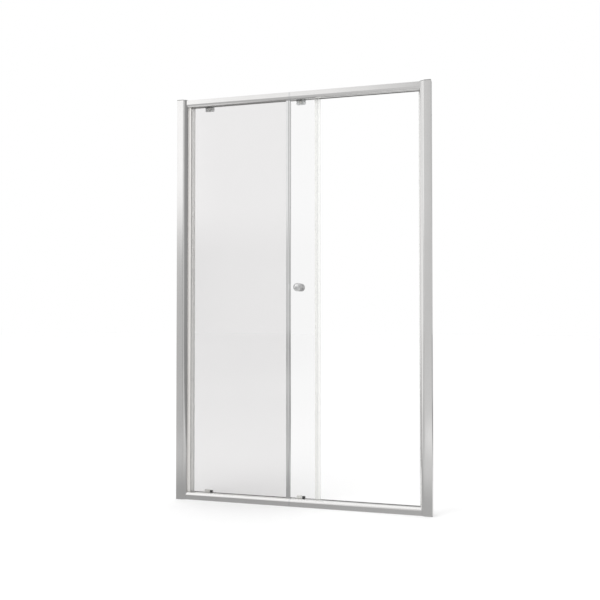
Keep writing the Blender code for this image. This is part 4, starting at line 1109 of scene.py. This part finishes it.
@dataclass
class FixedPane:
    """The pane on the left, its side gasket, its end trim and the wiper behind that."""

    low: Spot = (43.0, 22.0, 19.5)
    high: Spot = (PLAN.fixed_edge, 28.0, 1877.0)
    # The side gasket's base, the floor between its legs, their tips and their thickness
    gasket: tuple[float, ...] = (40.3, 42.7, 63.0, 0.9)
    gasket_corner: float = 0.35
    trim_edges: Pair = (537.0, 557.2)
    trim_wall: float = 1.2
    trim_base: float = 551.3
    trim_corner: float = 0.3
    trim_edge: float = 0.15
    bead_middle: float = 549.35
    bead: tuple[Pair, ...] = ((-3.6, 0.0), (-0.9, 1.05), (0.0, 1.2), (0.7, 1.05), (1.9, 0.0))
    wiper: tuple[Pair, ...] = (
        (543.1, 29.8), (551.1, 29.8), (551.1, 30.5), (547.6, 30.5), (548.1, 32.4),
        (547.1, 32.4), (546.6, 30.5), (543.1, 30.5),
    )
    wiper_corner: float = 0.25

    def build(self) -> None:
        """Model and dress the four pieces."""
        pane = block(FIXED_GLASS, self.low, self.high)
        pane.grind()
        pane.done("fixed_glass")
        upright(GASKET, channel(*self.gasket), self.gasket_corner).done("fixed_gasket_side")
        self.trim()
        upright(VINYL, self.wiper, self.wiper_corner, PLAN.trim_span).done("trim_wiper")

    def trim(self) -> None:
        """The bright profile on the pane's free edge, with a bead down its front."""
        (near, far), (tip, end), wall = PLAN.slot, self.trim_edges, self.trim_wall
        outline = [(tip, near + wall), (tip, near)]
        outline += [(self.bead_middle + across, near - high) for across, high in self.bead]
        outline += arc((end - wall, near + wall), (wall, wall), -90, 0, EDGE_STEPS)
        outline += arc((end - wall, far - wall), (wall, wall), 0, 90, EDGE_STEPS)
        outline += [(tip, far), (tip, far - wall)]
        outline += [(self.trim_base, far - wall), (self.trim_base, near + wall)]
        piece = upright(CHROME, outline, self.trim_corner, PLAN.trim_span)
        piece.round_edges(self.trim_edge)
        piece.done("fixed_trim")


@dataclass
class ClosingSide:
    """What the right jamb carries for the sliding pane: the infill strip and the strike seal."""

    face: float = 57.0
    jamb_face: float = 52.3
    root: float = 49.3
    wide: float = 3.8
    narrow: float = 2.3
    infill_corner: float = 0.3
    seal_corner: float = 0.5

    def build(self) -> None:
        """Model and dress both strips."""
        infill = Side.RIGHT.section(tee(PLAN.jamb))
        upright(ALUMINIUM_POST, infill, self.infill_corner).done("jamb_infill")
        half = [(self.root, self.narrow), (self.jamb_face, self.narrow), (self.jamb_face, self.wide)]
        outline = mirrored([*half, (self.face, self.narrow)], PLAN.sliding_middle)
        upright(VINYL, Side.RIGHT.section(outline), self.seal_corner).done("strike_seal")


@dataclass
class SlidingPane:
    """The pane that moves, with the seals on its two upright edges."""

    heights: Pair = (24.0, 1872.5)
    countersink: Pair = (7.1, 3.6)
    countersink_depth: float = 3.5
    sink: float = 0.2
    knob_hole: float = 4.3
    cover: float = 12.5
    leg: float = 1.0
    base: float = 1.2
    nose: float = 14.4
    tail: float = 14.0
    tail_cover: float = 6.0
    corner: float = 0.4

    def build(self) -> None:
        """Model and dress the pane and its two seals."""
        self.pane()
        self.leading_seal()
        self.trailing_seal()

    def pane(self) -> None:
        """The glass, with countersunk holes for the rollers and a plain one for the knob."""
        (near, far), (left, right), (bottom, top) = PLAN.sliding_faces, PLAN.sliding_edges, self.heights
        piece = block(SLIDING_GLASS, (left, near, bottom), (right, far, top))
        wide, narrow = self.countersink
        # The cutter starts before the pane's face and ends behind it
        before, end, cone = 2, 10, 2 + self.sink
        profile = [(0, 0), (wide, 0), (wide, cone), (narrow, cone + self.countersink_depth)]
        profile += [(narrow, end), (0, end)]
        for place in Place:
            piece.combine(turned(STEEL, Run.Y, profile, (place.value, near - before, PLAN.bolt_level)))
        piece.drill(Run.Y, (Knob.across, PLAN.sliding_middle, Knob.height), self.knob_hole, end)
        piece.grind()
        piece.done("sliding_glass")

    def leading_seal(self) -> None:
        """The magnetic seal that wraps the closing edge."""
        edge, base = PLAN.sliding_edges[1], self.base
        inner = (PLAN.sliding_faces[1] - PLAN.sliding_faces[0]) / 2 + PLAN.slip
        outer, tip, root, end = inner + self.leg, edge - self.cover, edge + PLAN.slip, edge + self.nose
        half = [(root, inner), (tip, inner), (tip, outer), (root + base, outer), (root + 2 * base, inner)]
        half += [(end - base, inner), (end, inner - base)]
        upright(VINYL, mirrored(half, PLAN.sliding_middle), self.corner).done("leading_seal")

    def trailing_seal(self) -> None:
        """The lip seal on the other edge, which meets the wiper when the door is shut."""
        (near, far), edge = PLAN.sliding_faces, PLAN.sliding_edges[0]
        front, back = near - PLAN.slip, far + PLAN.slip
        outer_front, outer_back = front - self.leg, back + self.leg
        tip, base = edge + self.tail_cover, edge - PLAN.slip
        wall, end = base - self.base, edge - self.tail
        outline = [(tip, outer_front), (tip, front), (base, front), (base, back), (tip, back)]
        outline += [(tip, outer_back), (wall, outer_back), (wall, front), (end, front), (end, outer_front)]
        upright(VINYL, outline, self.corner).done("trailing_seal")


@dataclass
class Knob:
    """The round handle: a drum on each face of the pane, its washers and the stud between."""

    across: float = 595.0
    height: float = 998.0
    radius: float = 19.0
    length: float = 33.0
    edge: float = 1.8
    back_edge: float = 0.9
    back_angle: float = -60.0
    dish: float = 1.4
    dish_share: float = 0.8
    # The dish's edge as (out from its radius, above its floor), and the dome inside that
    lip: tuple[Pair, ...] = ((0.35, 1.4), (0.1, 1.34), (-0.55, 0.12))
    dome_inset: float = 0.9
    dome_rise: float = 1.3
    stud: float = 3.0
    tip: float = 0.5
    run_out: float = 0.4
    stud_bite: float = 18.0
    hole: float = 3.3
    washer: float = 15.0
    washer_thickness: float = 0.7
    washer_corner: float = 0.2
    pitch: float = 1.0
    sides: int = 96
    back_steps: int = 3
    edge_steps: int = 10
    dome_steps: int = 8

    def build(self) -> None:
        """Model and dress the five pieces."""
        (near, far), thick = PLAN.sliding_faces, self.washer_thickness
        gap = 2 * PLAN.slip + thick
        ring = softened(oblong((self.hole, 0), (self.washer, thick)), self.washer_corner)
        for word, face, sign in (("front", near, -1), ("back", far, 1)):
            for node, finish, profile, away, sides in (
                ("knob", CHROME, self.profile(), gap, self.sides),
                ("knob_washer", WHITE_NYLON, ring, PLAN.slip, ROUND_SIDES),
            ):
                profile = [(radius, sign * along) for radius, along in profile]
                origin = (self.across, face + sign * away, self.height)
                turned(finish, Run.Y, profile, origin, sides, ring=profile[0][0] > 0).done(f"{node}_{word}")
        self.threaded_stud(near - gap - self.stud_bite, far - near + 2 * gap + 2 * self.stud_bite)

    def profile(self) -> list[Pair]:
        """The drum: blind hole, back edge, rounded rim and a low dome set into the face.

        Returns:
            Half its section as (radius, distance from its back) points.
        """
        dish, edge, back = self.dish_share * self.radius, self.edge, self.back_edge
        floor, bottom = self.length - self.dish, self.stud_bite + PLAN.slip
        points = [(0, bottom), (self.hole, bottom), (self.hole, 0), (self.radius - back, 0)]
        points += arc((self.radius - back, back), (back, back), self.back_angle, 0, self.back_steps)
        points += arc((self.radius - edge, self.length - edge), (edge, edge), 0, 90, self.edge_steps)
        points += [(dish + out, floor + up) for out, up in self.lip]
        for share in (step / self.dome_steps for step in range(self.dome_steps, -1, -1)):
            points.append(((dish - self.dome_inset) * share, floor + self.dome_rise * (1 - share * share)))
        return points

    def threaded_stud(self, depth: float, length: float) -> None:
        """The stud that draws both drums onto the pane.

        Args:
            depth: Its front end's depth.
            length: Its length.
        """
        start, thin = (self.across, depth, self.height), self.stud - self.tip
        profile = [(0, 0), (thin, 0), *rings(self.stud, self.pitch / 2, length - self.pitch, self.pitch)]
        piece = turned(STEEL, Run.Y, [*profile, (thin, length), (0, length)], start, SMALL_SIDES)
        piece.thread(Run.Y, start, (self.run_out, length - self.run_out), self.stud, self.pitch)
        piece.done("knob_stud")


def radius_of(point: Vector, centre: Vector) -> float:
    """Distance from an axle along Y, in millimetres."""
    return math.hypot(point.x - centre.x, point.z - centre.z) / MM


@dataclass(frozen=True)
class Wheel:
    """A grooved tyre on a ball bearing, whose shield lies a little deeper between two radii."""

    radius: float
    bore: float
    shield: Pair
    # Half the groove's width, and its depth
    groove: Pair = (1.05, 1.9)
    land: float = 0.7
    step: float = 0.1
    bevel: float = 0.3
    ease: Pair = (0.15, 0.25)

    def profile(self) -> list[Pair]:
        """Half the wheel's section.

        Returns:
            A closed loop of (radius, distance along the axle) points.
        """
        rim, half, (inner, outer), (out, inward) = self.radius, PLAN.wheel_width / 2, self.shield, self.ease
        face, deep, (groove, depth) = half - self.step, half - self.bevel, self.groove
        points = [(self.bore, half - inward), (self.bore + out, face), (inner, face), (inner, deep)]
        points += [(outer, deep), (outer, face), (outer + self.land, face), (outer + self.land, half)]
        points += [(rim - self.bevel, half), (rim - self.step, face), (rim, deep), (rim, groove + self.bevel)]
        points += [(rim - depth + out, groove), (rim - depth, groove - inward)]
        return points + [(radius, -along) for radius, along in points[::-1]]

    def piece(self, across: float, level: float) -> Piece:
        """The wheel with its axle at a distance from the left-hand wall and a level."""
        return turned(TYRE, Run.Y, self.profile(), (across, PLAN.wheel_depth, level), ring=True)


@dataclass
class Carrier:
    """A roller carrier under the top rail: its body, bolt, two axles and two wheels."""

    width: float = 43.0
    corner: float = 5.0
    corner_steps: int = 8
    edge: float = 0.3
    levels: tuple[float, float, float] = (1843.1, 1862.4, 1887.4)
    plate_faces: Pair = (39.0, 40.8)
    block_back: float = 48.0
    hollow: Pair = (1.8, 0.6)
    bolt_reach: float = 15.8
    axle_reach: float = 8.0
    bolt_head: float = 6.5
    bolt: float = 3.0
    bolt_cone: float = 3.5
    bolt_length: float = 13.7
    bolt_depth: float = 32.9
    bolt_edges: Pair = (0.3, 0.4)
    hexagon: float = 2.3
    socket: Pair = (2.2, 2.6)
    spacing: float = 22.0
    pin: float = 2.0
    pin_edge: float = 0.2
    pin_head: float = 3.2
    pin_head_height: float = 0.7
    # Its bevel underneath, and the width and height of the one on top
    pin_head_edges: tuple[float, float, float] = (0.1, 0.4, 0.3)
    # (radius, depth) of the dimple that the punch leaves
    dimple: tuple[Pair, ...] = ((1.0, 0.0), (0.6, 0.25), (0.0, 0.3))
    wheel: float = 9.0
    shield: Pair = (3.1, 4.2)
    # How far a painted band ends from the faces beside it
    spare: float = 0.05

    def build(self) -> None:
        """Model each piece once at the rear place, and copy it to all its places."""
        rear = Place.REAR.value
        single = {"body": self.body(rear), "bolt": self.bolt_piece(rear)}
        left = rear - self.spacing / 2
        double = {"pin": self.axle(left), "wheel": self.wheel_piece(left)}
        kinds = ((single, "", 0.0), (double, "_left", 0.0), (double, "_right", self.spacing))
        for pieces, word, step in kinds:
            for name, piece in pieces.items():
                for place in Place:
                    other = piece.copied((place.value - rear + step, 0, 0))
                    other.done(f"roller_{name}_{place.word}{word}")
        for piece in (single | double).values():
            piece.discard()

    def plate(self, centre: float, top: float, back: float, round_top: bool) -> Piece:
        """A plate of grey ABS, its colour lifted as painted light, with round bottom corners.

        Args:
            centre: Its middle, from the left-hand wall.
            top: Its highest level.
            back: Its back's depth.
            round_top: Whether its top corners are round too.

        Returns:
            The plate.
        """
        left, right = centre - self.width / 2, centre + self.width / 2
        bottom, size, steps = self.levels[0], self.corner, self.corner_steps
        corners = [(left + size, bottom + size, 180), (right - size, bottom + size, 270)]
        if round_top:
            corners += [(right - size, top - size, 0), (left + size, top - size, 90)]
        points = []
        for across, level, turn in corners:
            points += arc((across, level), (size, size), turn, turn + 90, steps)
        points += [] if round_top else [(right, top), (left, top)]
        return bar(GREY_ABS_PAINTED_LIGHT, Run.Y, points, (self.plate_faces[0], back))

    def body(self, centre: float) -> Piece:
        """The moulded body: a thin plate up into the rail and a block below it, hollowed at the back.

        Args:
            centre: Its middle, from the left-hand wall.

        Returns:
            The body.
        """
        (front, plate_back), (_, shelf, top), back = self.plate_faces, self.levels, self.block_back
        piece = self.plate(centre, top, plate_back, True)
        piece.combine(self.plate(centre, shelf, back, False), "UNION")
        rear = PLAN.spot(0, back, 0).y - NEAR
        piece.sink(lambda middle, normal: normal.y > FACING and middle.y > rear, *self.hollow)
        piece.round_edges(self.edge)
        piece.drill(Run.Y, (centre, front, PLAN.bolt_level), self.bolt + PLAN.slip, self.bolt_reach)
        for sign in (-1, 1):
            spot = (centre + sign * self.spacing / 2, front, PLAN.axle_level)
            piece.drill(Run.Y, spot, self.pin + PLAN.slip, self.axle_reach)
        return piece

    def bolt_piece(self, centre: float) -> Piece:
        """The countersunk bolt, flush with the pane, with a six-sided socket.

        Args:
            centre: Its axis, from the left-hand wall.

        Returns:
            The bolt.
        """
        start, length = (centre, self.bolt_depth, PLAN.bolt_level), self.bolt_length
        (rim, tip), (wall, bottom) = self.bolt_edges, self.socket
        profile = [(0, 0), (self.bolt_head - rim, 0), (self.bolt_head, rim), (self.bolt, self.bolt_cone)]
        profile += [(self.bolt, length - tip), (self.bolt - tip, length), (0, length)]
        piece = turned(STEEL, Run.Y, profile, start)
        socket = [(0, -PAST), (self.hexagon, -PAST), (self.hexagon, wall), (0, bottom)]
        piece.combine(turned(STEEL, Run.Y, socket, start, 6))
        return piece

    def axle(self, across: float) -> Piece:
        """The riveted axle of a wheel, its head dimpled by the punch.

        Args:
            across: Its axis, from the left-hand wall.

        Returns:
            The axle.
        """
        start, pin, head = self.plate_faces[0] + PLAN.slip, self.pin, self.pin_head
        bearing = PLAN.wheel_depth + PLAN.wheel_width / 2 + PLAN.slip - start
        end, (under, inward, down) = bearing + self.pin_head_height, self.pin_head_edges
        profile = [(0, 0), (pin - self.pin_edge, 0), (pin, self.pin_edge), (pin, bearing)]
        profile += [(head - under, bearing), (head, bearing + under), (head, end - down)]
        profile += [(head - inward, end), *((radius, end - depth) for radius, depth in self.dimple)]
        return turned(STEEL, Run.Y, profile, (across, start, PLAN.axle_level), SMALL_SIDES)

    def wheel_piece(self, across: float) -> Piece:
        """A wheel whose bearing and rubber shield have their own looks.

        Args:
            across: Its axis, from the left-hand wall.

        Returns:
            The wheel.
        """
        wheel = Wheel(self.wheel, self.pin + PLAN.slip, self.shield)
        piece, centre = wheel.piece(across, PLAN.axle_level), PLAN.spot(across, 0, PLAN.axle_level)
        inner, outer = self.shield[0] + self.spare, self.shield[1] - self.spare
        bearing = self.shield[1] + wheel.land + self.spare
        piece.paint(BEARING, lambda middle, normal: radius_of(middle, centre) < bearing)
        piece.paint(RUBBER, lambda middle, normal: inner < radius_of(middle, centre) < outer)
        return piece


@dataclass
class Guide:
    """A guide at the pane's foot: its body, the release button with its wheel, and the spring."""

    body_edge: float = 0.25
    button_edge: float = 0.1
    button_centre: float = 12.45
    button_top: float = 43.2
    button_faces: Pair = (30.0, 50.0)
    grooves: tuple[float, ...] = (-3.3, -1.1, 1.1, 3.3)
    groove_half: float = 0.4
    groove_depth: float = 0.35
    axle_level: float = 25.8
    wheel: float = 5.5
    pin: float = 1.5
    shield: Pair = (2.1, 2.5)
    spring: float = 1.5
    wire: float = 0.6
    wire_sides: int = 12
    turns: int = 4
    turn_steps: int = 28
    spring_depth: float = 44.05
    spring_span: Pair = (35.7, 41.4)

    def build(self) -> None:
        """Model and dress the pieces of both guides."""
        for place in Place:
            node = f"guide_body_{place.word}"
            softened_copy(node, WHITE_NYLON, self.body_edge).done(node)
            across = place.value + self.button_centre
            self.button(f"guide_plunger_{place.word}", across)
            wheel = Wheel(self.wheel, self.pin + PLAN.slip, self.shield)
            wheel.piece(across, self.axle_level).done(f"guide_wheel_{place.word}")
            self.coil(place, across)

    def button(self, node: str, across: float) -> None:
        """The button, with grooves across its top for the thumb.

        Args:
            node: The node that it stands for.
            across: Its middle, from the left-hand wall.
        """
        piece = softened_copy(node, BLACK_NYLON, self.button_edge)
        (front, back), half, top = self.button_faces, self.groove_half, self.button_top
        for middle in (across + offset for offset in self.grooves):
            low, high = (middle - half, front, top - self.groove_depth), (middle + half, back, top + PAST)
            piece.combine(block(STEEL, low, high))
        piece.done(node)

    def coil(self, place: Place, across: float) -> None:
        """The steel spring that lifts the button.

        Args:
            place: The guide that it belongs to.
            across: Its axis, from the left-hand wall.
        """
        name = f"guide_spring_{place.word}"
        piece = Piece(STEEL)
        (low, high), steps = self.spring_span, self.turn_steps
        wire = {"vertices": self.wire_sides, "radius": self.wire / 2 * MM}
        spot = {"location": (self.spring * MM, 0, 0), "rotation": (math.pi / 2, 0, 0)}
        bpy.ops.mesh.primitive_circle_add(**wire, **spot)
        turns = {"angle": math.tau, "screw_offset": (high - low) / self.turns * MM, "iterations": self.turns}
        piece.apply("SCREW", axis="Z", steps=steps, render_steps=steps, use_merge_vertices=False, **turns)
        piece.merge()
        bpy.ops.mesh.select_mode(type="EDGE")
        bpy.ops.mesh.select_all(action="DESELECT")
        bpy.ops.mesh.select_non_manifold(extend=False)
        bpy.ops.mesh.fill(use_beauty=True)
        bpy.ops.mesh.select_all(action="SELECT")
        bpy.ops.transform.translate(value=PLAN.spot(across, self.spring_depth, low))
        thing = piece.done(name)
        joint = next(item for item in frame["joints"] if item["name"] == f"release_{place.word}_press")
        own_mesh(thing)


@dataclass
class Buffers:
    """The two rubber stops inside the top rail."""

    width: float = 0.5

    def build(self) -> None:
        """Model and dress both."""
        for node in ("door_stop_open", "door_stop_closed"):
            softened_copy(node, RUBBER, self.width).done(node)


def straight_to_eye(tree: bpy.types.NodeTree) -> Socket:
    """One for light that reaches the eye with nothing but glass in its way.

    Args:
        tree: The node tree that gets the nodes.

    Returns:
        The socket with one or nought.
    """
    rays = add_node(tree, "LightPath").outputs
    either = {0: rays["Is Camera Ray"], 1: rays["Is Transmission Ray"]}
    either = add_node(tree, "Math", either, use_clamp=True).outputs[0]
    reflected = {0: either, 1: rays["Glossy Depth"]}
    return add_node(tree, "Math", reflected, operation="SUBTRACT", use_clamp=True).outputs[0]


@dataclass
class Studio:
    """The pale floor, the soft light and the camera, with their places in metres.

    What metal reflects has a brightness for each direction above the floor and for each place on it. A
    layer is a brightness that comes in while a value goes from one number to another, and that is either
    one number or changes along X: from, to, and the brightness at both.
    """

    eye: tuple[float, float, float] = (0.87905, -3.23724, 0.86944)
    tilt: float = 91.1966
    roll: float = 0.009
    turn: float = 15.156
    lens: float = 43.96
    sight: float = 200.0
    lamp_place: tuple[float, float, float] = (-2.2, -3.4, 3.6)
    lamp_aim: tuple[float, float, float] = (0.0, 0.0, 0.9)
    lamp_size: float = 3.0
    lamp_power: float = 60.0
    # (X of a direction, brightness) well above the horizon, and near or below it
    upper: tuple[Pair, ...] = (
        (-1.0, 0.84), (-0.62, 0.76), (-0.48, 0.76), (-0.45, 1.08), (-0.39, 1.08), (-0.36, 0.90),
        (-0.20, 0.88), (-0.12, 0.68), (-0.08, 0.57), (0.03, 0.38), (0.57, 0.27),
    )
    lower: tuple[Pair, ...] = (
        (-0.62, 0.86), (-0.50, 0.80), (-0.45, 0.68), (-0.43, 0.40), (-0.39, 0.41), (-0.35, 0.54),
        (-0.20, 0.63), (-0.12, 0.58), (-0.05, 0.57), (0.03, 0.40), (0.20, 0.34), (0.50, 0.28),
    )
    # Straight behind the door it is darker, for the faces that look sideways
    upper_layers: Layers = (("y", 0.75, 0.95, 0.52),)
    lower_layers: Layers = (("y", 0.0, 0.2, -0.1, 0.15, 0.7, 0.58),)
    # The heights of a direction over which the bands change, and over which they end in white
    horizon: Pair = (0.075, 0.153)
    zenith: Pair = (0.5, 0.8)
    floor_size: float = 60.0
    floor_colour: str = "#e8e8e8"
    # The light that the floor gives of its own, so that it shows white to the eye
    floor_lift: float = 0.195
    # The floor near the door in metal, in metres of X, and the layers over it: painted light and shade in a glow
    # of the floor that only reflections see
    floor_near: tuple[float, ...] = (-0.5, 0.5, 0.36, 0.42)
    floor_layers: Layers = (
        ("y", -0.25, -0.85, -1.4, 0.2, 0.46, 0.60),
        ("y", -3.6, -5.6, -3.0, -1.5, 0.45, 0.60),
        # Painted light at the far left as the door's left foot sees it, for the right-hand post's rounding
        ("slant", 0.5, 0.75, 0.80),
        ("x", 0.7, 1.2, 0.25),
        ("y", 0.5, 3.0, 0.28),
        ("y", 3.5, 5.0, 0.0, 1.0, 0.7, 0.42),
    )
    left_foot: float = 0.6
    # Two painted pools of light in the floor's glow, which only reflections see, for the right-hand post's flat
    # and its rounding near the foot:
    # place, reach, slant and brightness
    pools: tuple[tuple[Spot, Spot, float, float], ...] = (
        ((0.56, -2.2, 0), (0.36, 1.3, 1), -0.083, 0.9),
        ((-2.1, -1.1, 0), (1.4, 1.1, 1), 0.0, 0.66),
    )
    pool_edge: float = 0.35

    def build(self) -> None:
        """Set up the world, the floor, the lamp and the camera."""
        self.world()
        self.floor()
        self.lamp()
        self.camera()

    def bands(self, value: Socket, stops: Sequence[Pair]) -> Socket:
        """A brightness that follows stops.

        Args:
            value: What it depends on, from -1 to 1.
            stops: (value, brightness) pairs.

        Returns:
            The socket with the brightness.
        """
        tree = value.id_data
        share = add_node(tree, "MapRange", ranged(value, -1.0, 1.0)).outputs[0]
        ramp = add_node(tree, "ValToRGB", {0: share})
        elements = ramp.color_ramp.elements
        while len(elements) < len(stops):
            elements.new(0.5)
        for element, (place, bright) in zip(elements, stops):
            element.position = (place + 1) / 2
            element.color = (bright, bright, bright, 1)
        return ramp.outputs[0]

    def layered(self, tone: Socket, layers: Layers, **values: Socket) -> Socket:
        """Lay the layers over a brightness in order.

        Args:
            tone: The brightness under them.
            layers: The layers.
            **values: The sockets of the values that they name.

        Returns:
            The socket with the brightness.
        """
        tree = tone.id_data
        for name, start, end, *over in layers:
            bright = over[0]
            if len(over) > 1:
                bright = add_node(tree, "MapRange", ranged(values["x"], *over)).outputs[0]
            share = add_node(tree, "MapRange", ranged(values[name], start, end)).outputs[0]
            tone = add_node(tree, "Mix", {0: share, 2: tone, 3: bright}).outputs[0]
        return tone

    def world(self) -> None:
        """A white room for the eye, and for metal a bright studio with grey screens at the right."""
        world = bpy.data.worlds.new("studio")
        bpy.context.scene.world = world
        world.use_nodes = True
        tree = world.node_tree
        x, y, z = add_node(tree, "SeparateXYZ", {0: add_node(tree, "TexCoord").outputs["Generated"]}).outputs
        low = self.layered(self.bands(x, self.lower), self.lower_layers, x=x, y=y)
        high = self.layered(self.bands(x, self.upper), self.upper_layers, x=x, y=y)
        white, above = (
            add_node(tree, "MapRange", ranged(z, *span), interpolation_type="SMOOTHSTEP").outputs[0]
            for span in (self.zenith, self.horizon)
        )
        high = add_node(tree, "Mix", {0: white, 2: high, 3: 1.0}).outputs[0]
        screens = add_node(tree, "Mix", {0: above, 2: low, 3: high}).outputs[0]
        glossy = add_node(tree, "LightPath").outputs["Is Glossy Ray"]
        room, mirror = (
            add_node(tree, "Background", {0: tone}).outputs[0] for tone in ((1.0, 1.0, 1.0, 1.0), screens)
        )
        # Light through glass counts as glossy too, so the white that the eye sees is put on last
        inner = add_node(tree, "MixShader", {0: glossy, 1: room, 2: mirror}).outputs[0]
        outer = add_node(tree, "MixShader", {0: straight_to_eye(tree), 1: inner, 2: room}).outputs[0]
        tree.links.new(outer, tree.nodes["World Output"].inputs["Surface"])

    def reflected_floor(self, tree: bpy.types.NodeTree) -> Socket:
        """The painted light and shade that the floor shows in metal, as a glow that only reflections see.

        Args:
            tree: The floor's node tree.

        Returns:
            The socket with the brightness.
        """
        place = add_node(tree, "TexCoord").outputs["Object"]
        x, y, _ = add_node(tree, "SeparateXYZ", {0: place}).outputs
        aside = add_node(tree, "Math", {0: x, 1: self.left_foot}, operation="ADD").outputs[0]
        slant = add_node(tree, "Math", {0: aside, 1: y}, operation="DIVIDE").outputs[0]
        near = add_node(tree, "MapRange", ranged(x, *self.floor_near)).outputs[0]
        grey = self.layered(near, self.floor_layers, x=x, y=y, slant=slant)
        for centre, reach, angle, bright in self.pools:
            spot = {"Vector": place, "Location": centre, "Rotation": (0, 0, angle), "Scale": reach}
            spot = add_node(tree, "Mapping", spot, vector_type="TEXTURE").outputs[0]
            pool = add_node(tree, "TexGradient", {0: spot}, gradient_type="QUADRATIC_SPHERE").outputs[1]
            share = add_node(tree, "MapRange", ranged(pool, 0.0, self.pool_edge)).outputs[0]
            grey = add_node(tree, "Mix", {0: share, 2: grey, 3: bright}).outputs[0]
        return grey

    def floor(self) -> None:
        """A pale floor that shows white to the eye, keeps the shadow, and in metal shows painted grey shade and
        painted pools of light.
        """
        leave_edit_mode()
        bpy.ops.mesh.primitive_plane_add(size=self.floor_size)
        floor = bpy.context.object
        floor.name = "floor"
        material = bpy.data.materials.new("pale_floor")
        material.use_nodes = True
        tree = material.node_tree
        tree.nodes.remove(tree.nodes["Principled BSDF"])
        glossy, clear = add_node(tree, "LightPath").outputs["Is Glossy Ray"], straight_to_eye(tree)
        lift = add_node(tree, "Math", {0: clear, 1: self.floor_lift}, operation="MULTIPLY").outputs[0]
        paint = add_node(tree, "BsdfDiffuse", {"Color": linear(self.floor_colour)}).outputs[0]
        glow = add_node(tree, "Emission", {1: lift}).outputs[0]
        plain = add_node(tree, "AddShader", {0: paint, 1: glow}).outputs[0]
        mirror = add_node(tree, "Emission", {0: self.reflected_floor(tree)}).outputs[0]
        only = add_node(tree, "Math", {0: glossy, 1: clear}, operation="SUBTRACT", use_clamp=True).outputs[0]
        both = add_node(tree, "MixShader", {0: only, 1: plain, 2: mirror}).outputs[0]
        tree.links.new(both, tree.nodes["Material Output"].inputs["Surface"])
        floor.data.materials.append(material)

    def lamp(self) -> None:
        """One large soft lamp at the upper left in front."""
        data = bpy.data.lights.new("soft_lamp", "AREA")
        data.shape, data.size, data.energy = "DISK", self.lamp_size, self.lamp_power
        lamp = bpy.data.objects.new("soft_lamp", data)
        lamp.location = self.lamp_place
        lamp.rotation_euler = (Vector(self.lamp_aim) - lamp.location).to_track_quat("-Z", "Y").to_euler()
        lamp.visible_glossy = lamp.visible_camera = lamp.visible_transmission = False
        bpy.context.scene.collection.objects.link(lamp)

    def camera(self) -> None:
        """The camera at the photograph's place and angle."""
        data = bpy.data.cameras.new("camera")
        data.lens, data.clip_end = self.lens, self.sight
        camera = bpy.data.objects.new("camera", data)
        camera.location = self.eye
        camera.rotation_euler = tuple(map(math.radians, (self.tilt, self.roll, self.turn)))
        bpy.context.scene.collection.objects.link(camera)
        bpy.context.scene.camera = camera


def main() -> None:
    """Build everything in order."""
    logging.basicConfig(level=logging.INFO, format="%(message)s")
    bpy.context.scene.view_settings.view_transform = "Standard"
    assemblies = [Post(side) for side in Side]
    assemblies += [AdjustingScrews(), *(RailBar(rail) for rail in Rail), CornerScrews()]
    assemblies += [FixedPane(), ClosingSide(), Buffers(), SlidingPane(), Knob(), Carrier(), Guide(), Studio()]
    for assembly in assemblies:
        assembly.build()
        LOG.info("%s is in place", type(assembly).__name__)
    leave_edit_mode()


if __name__ == "__main__":
    main()
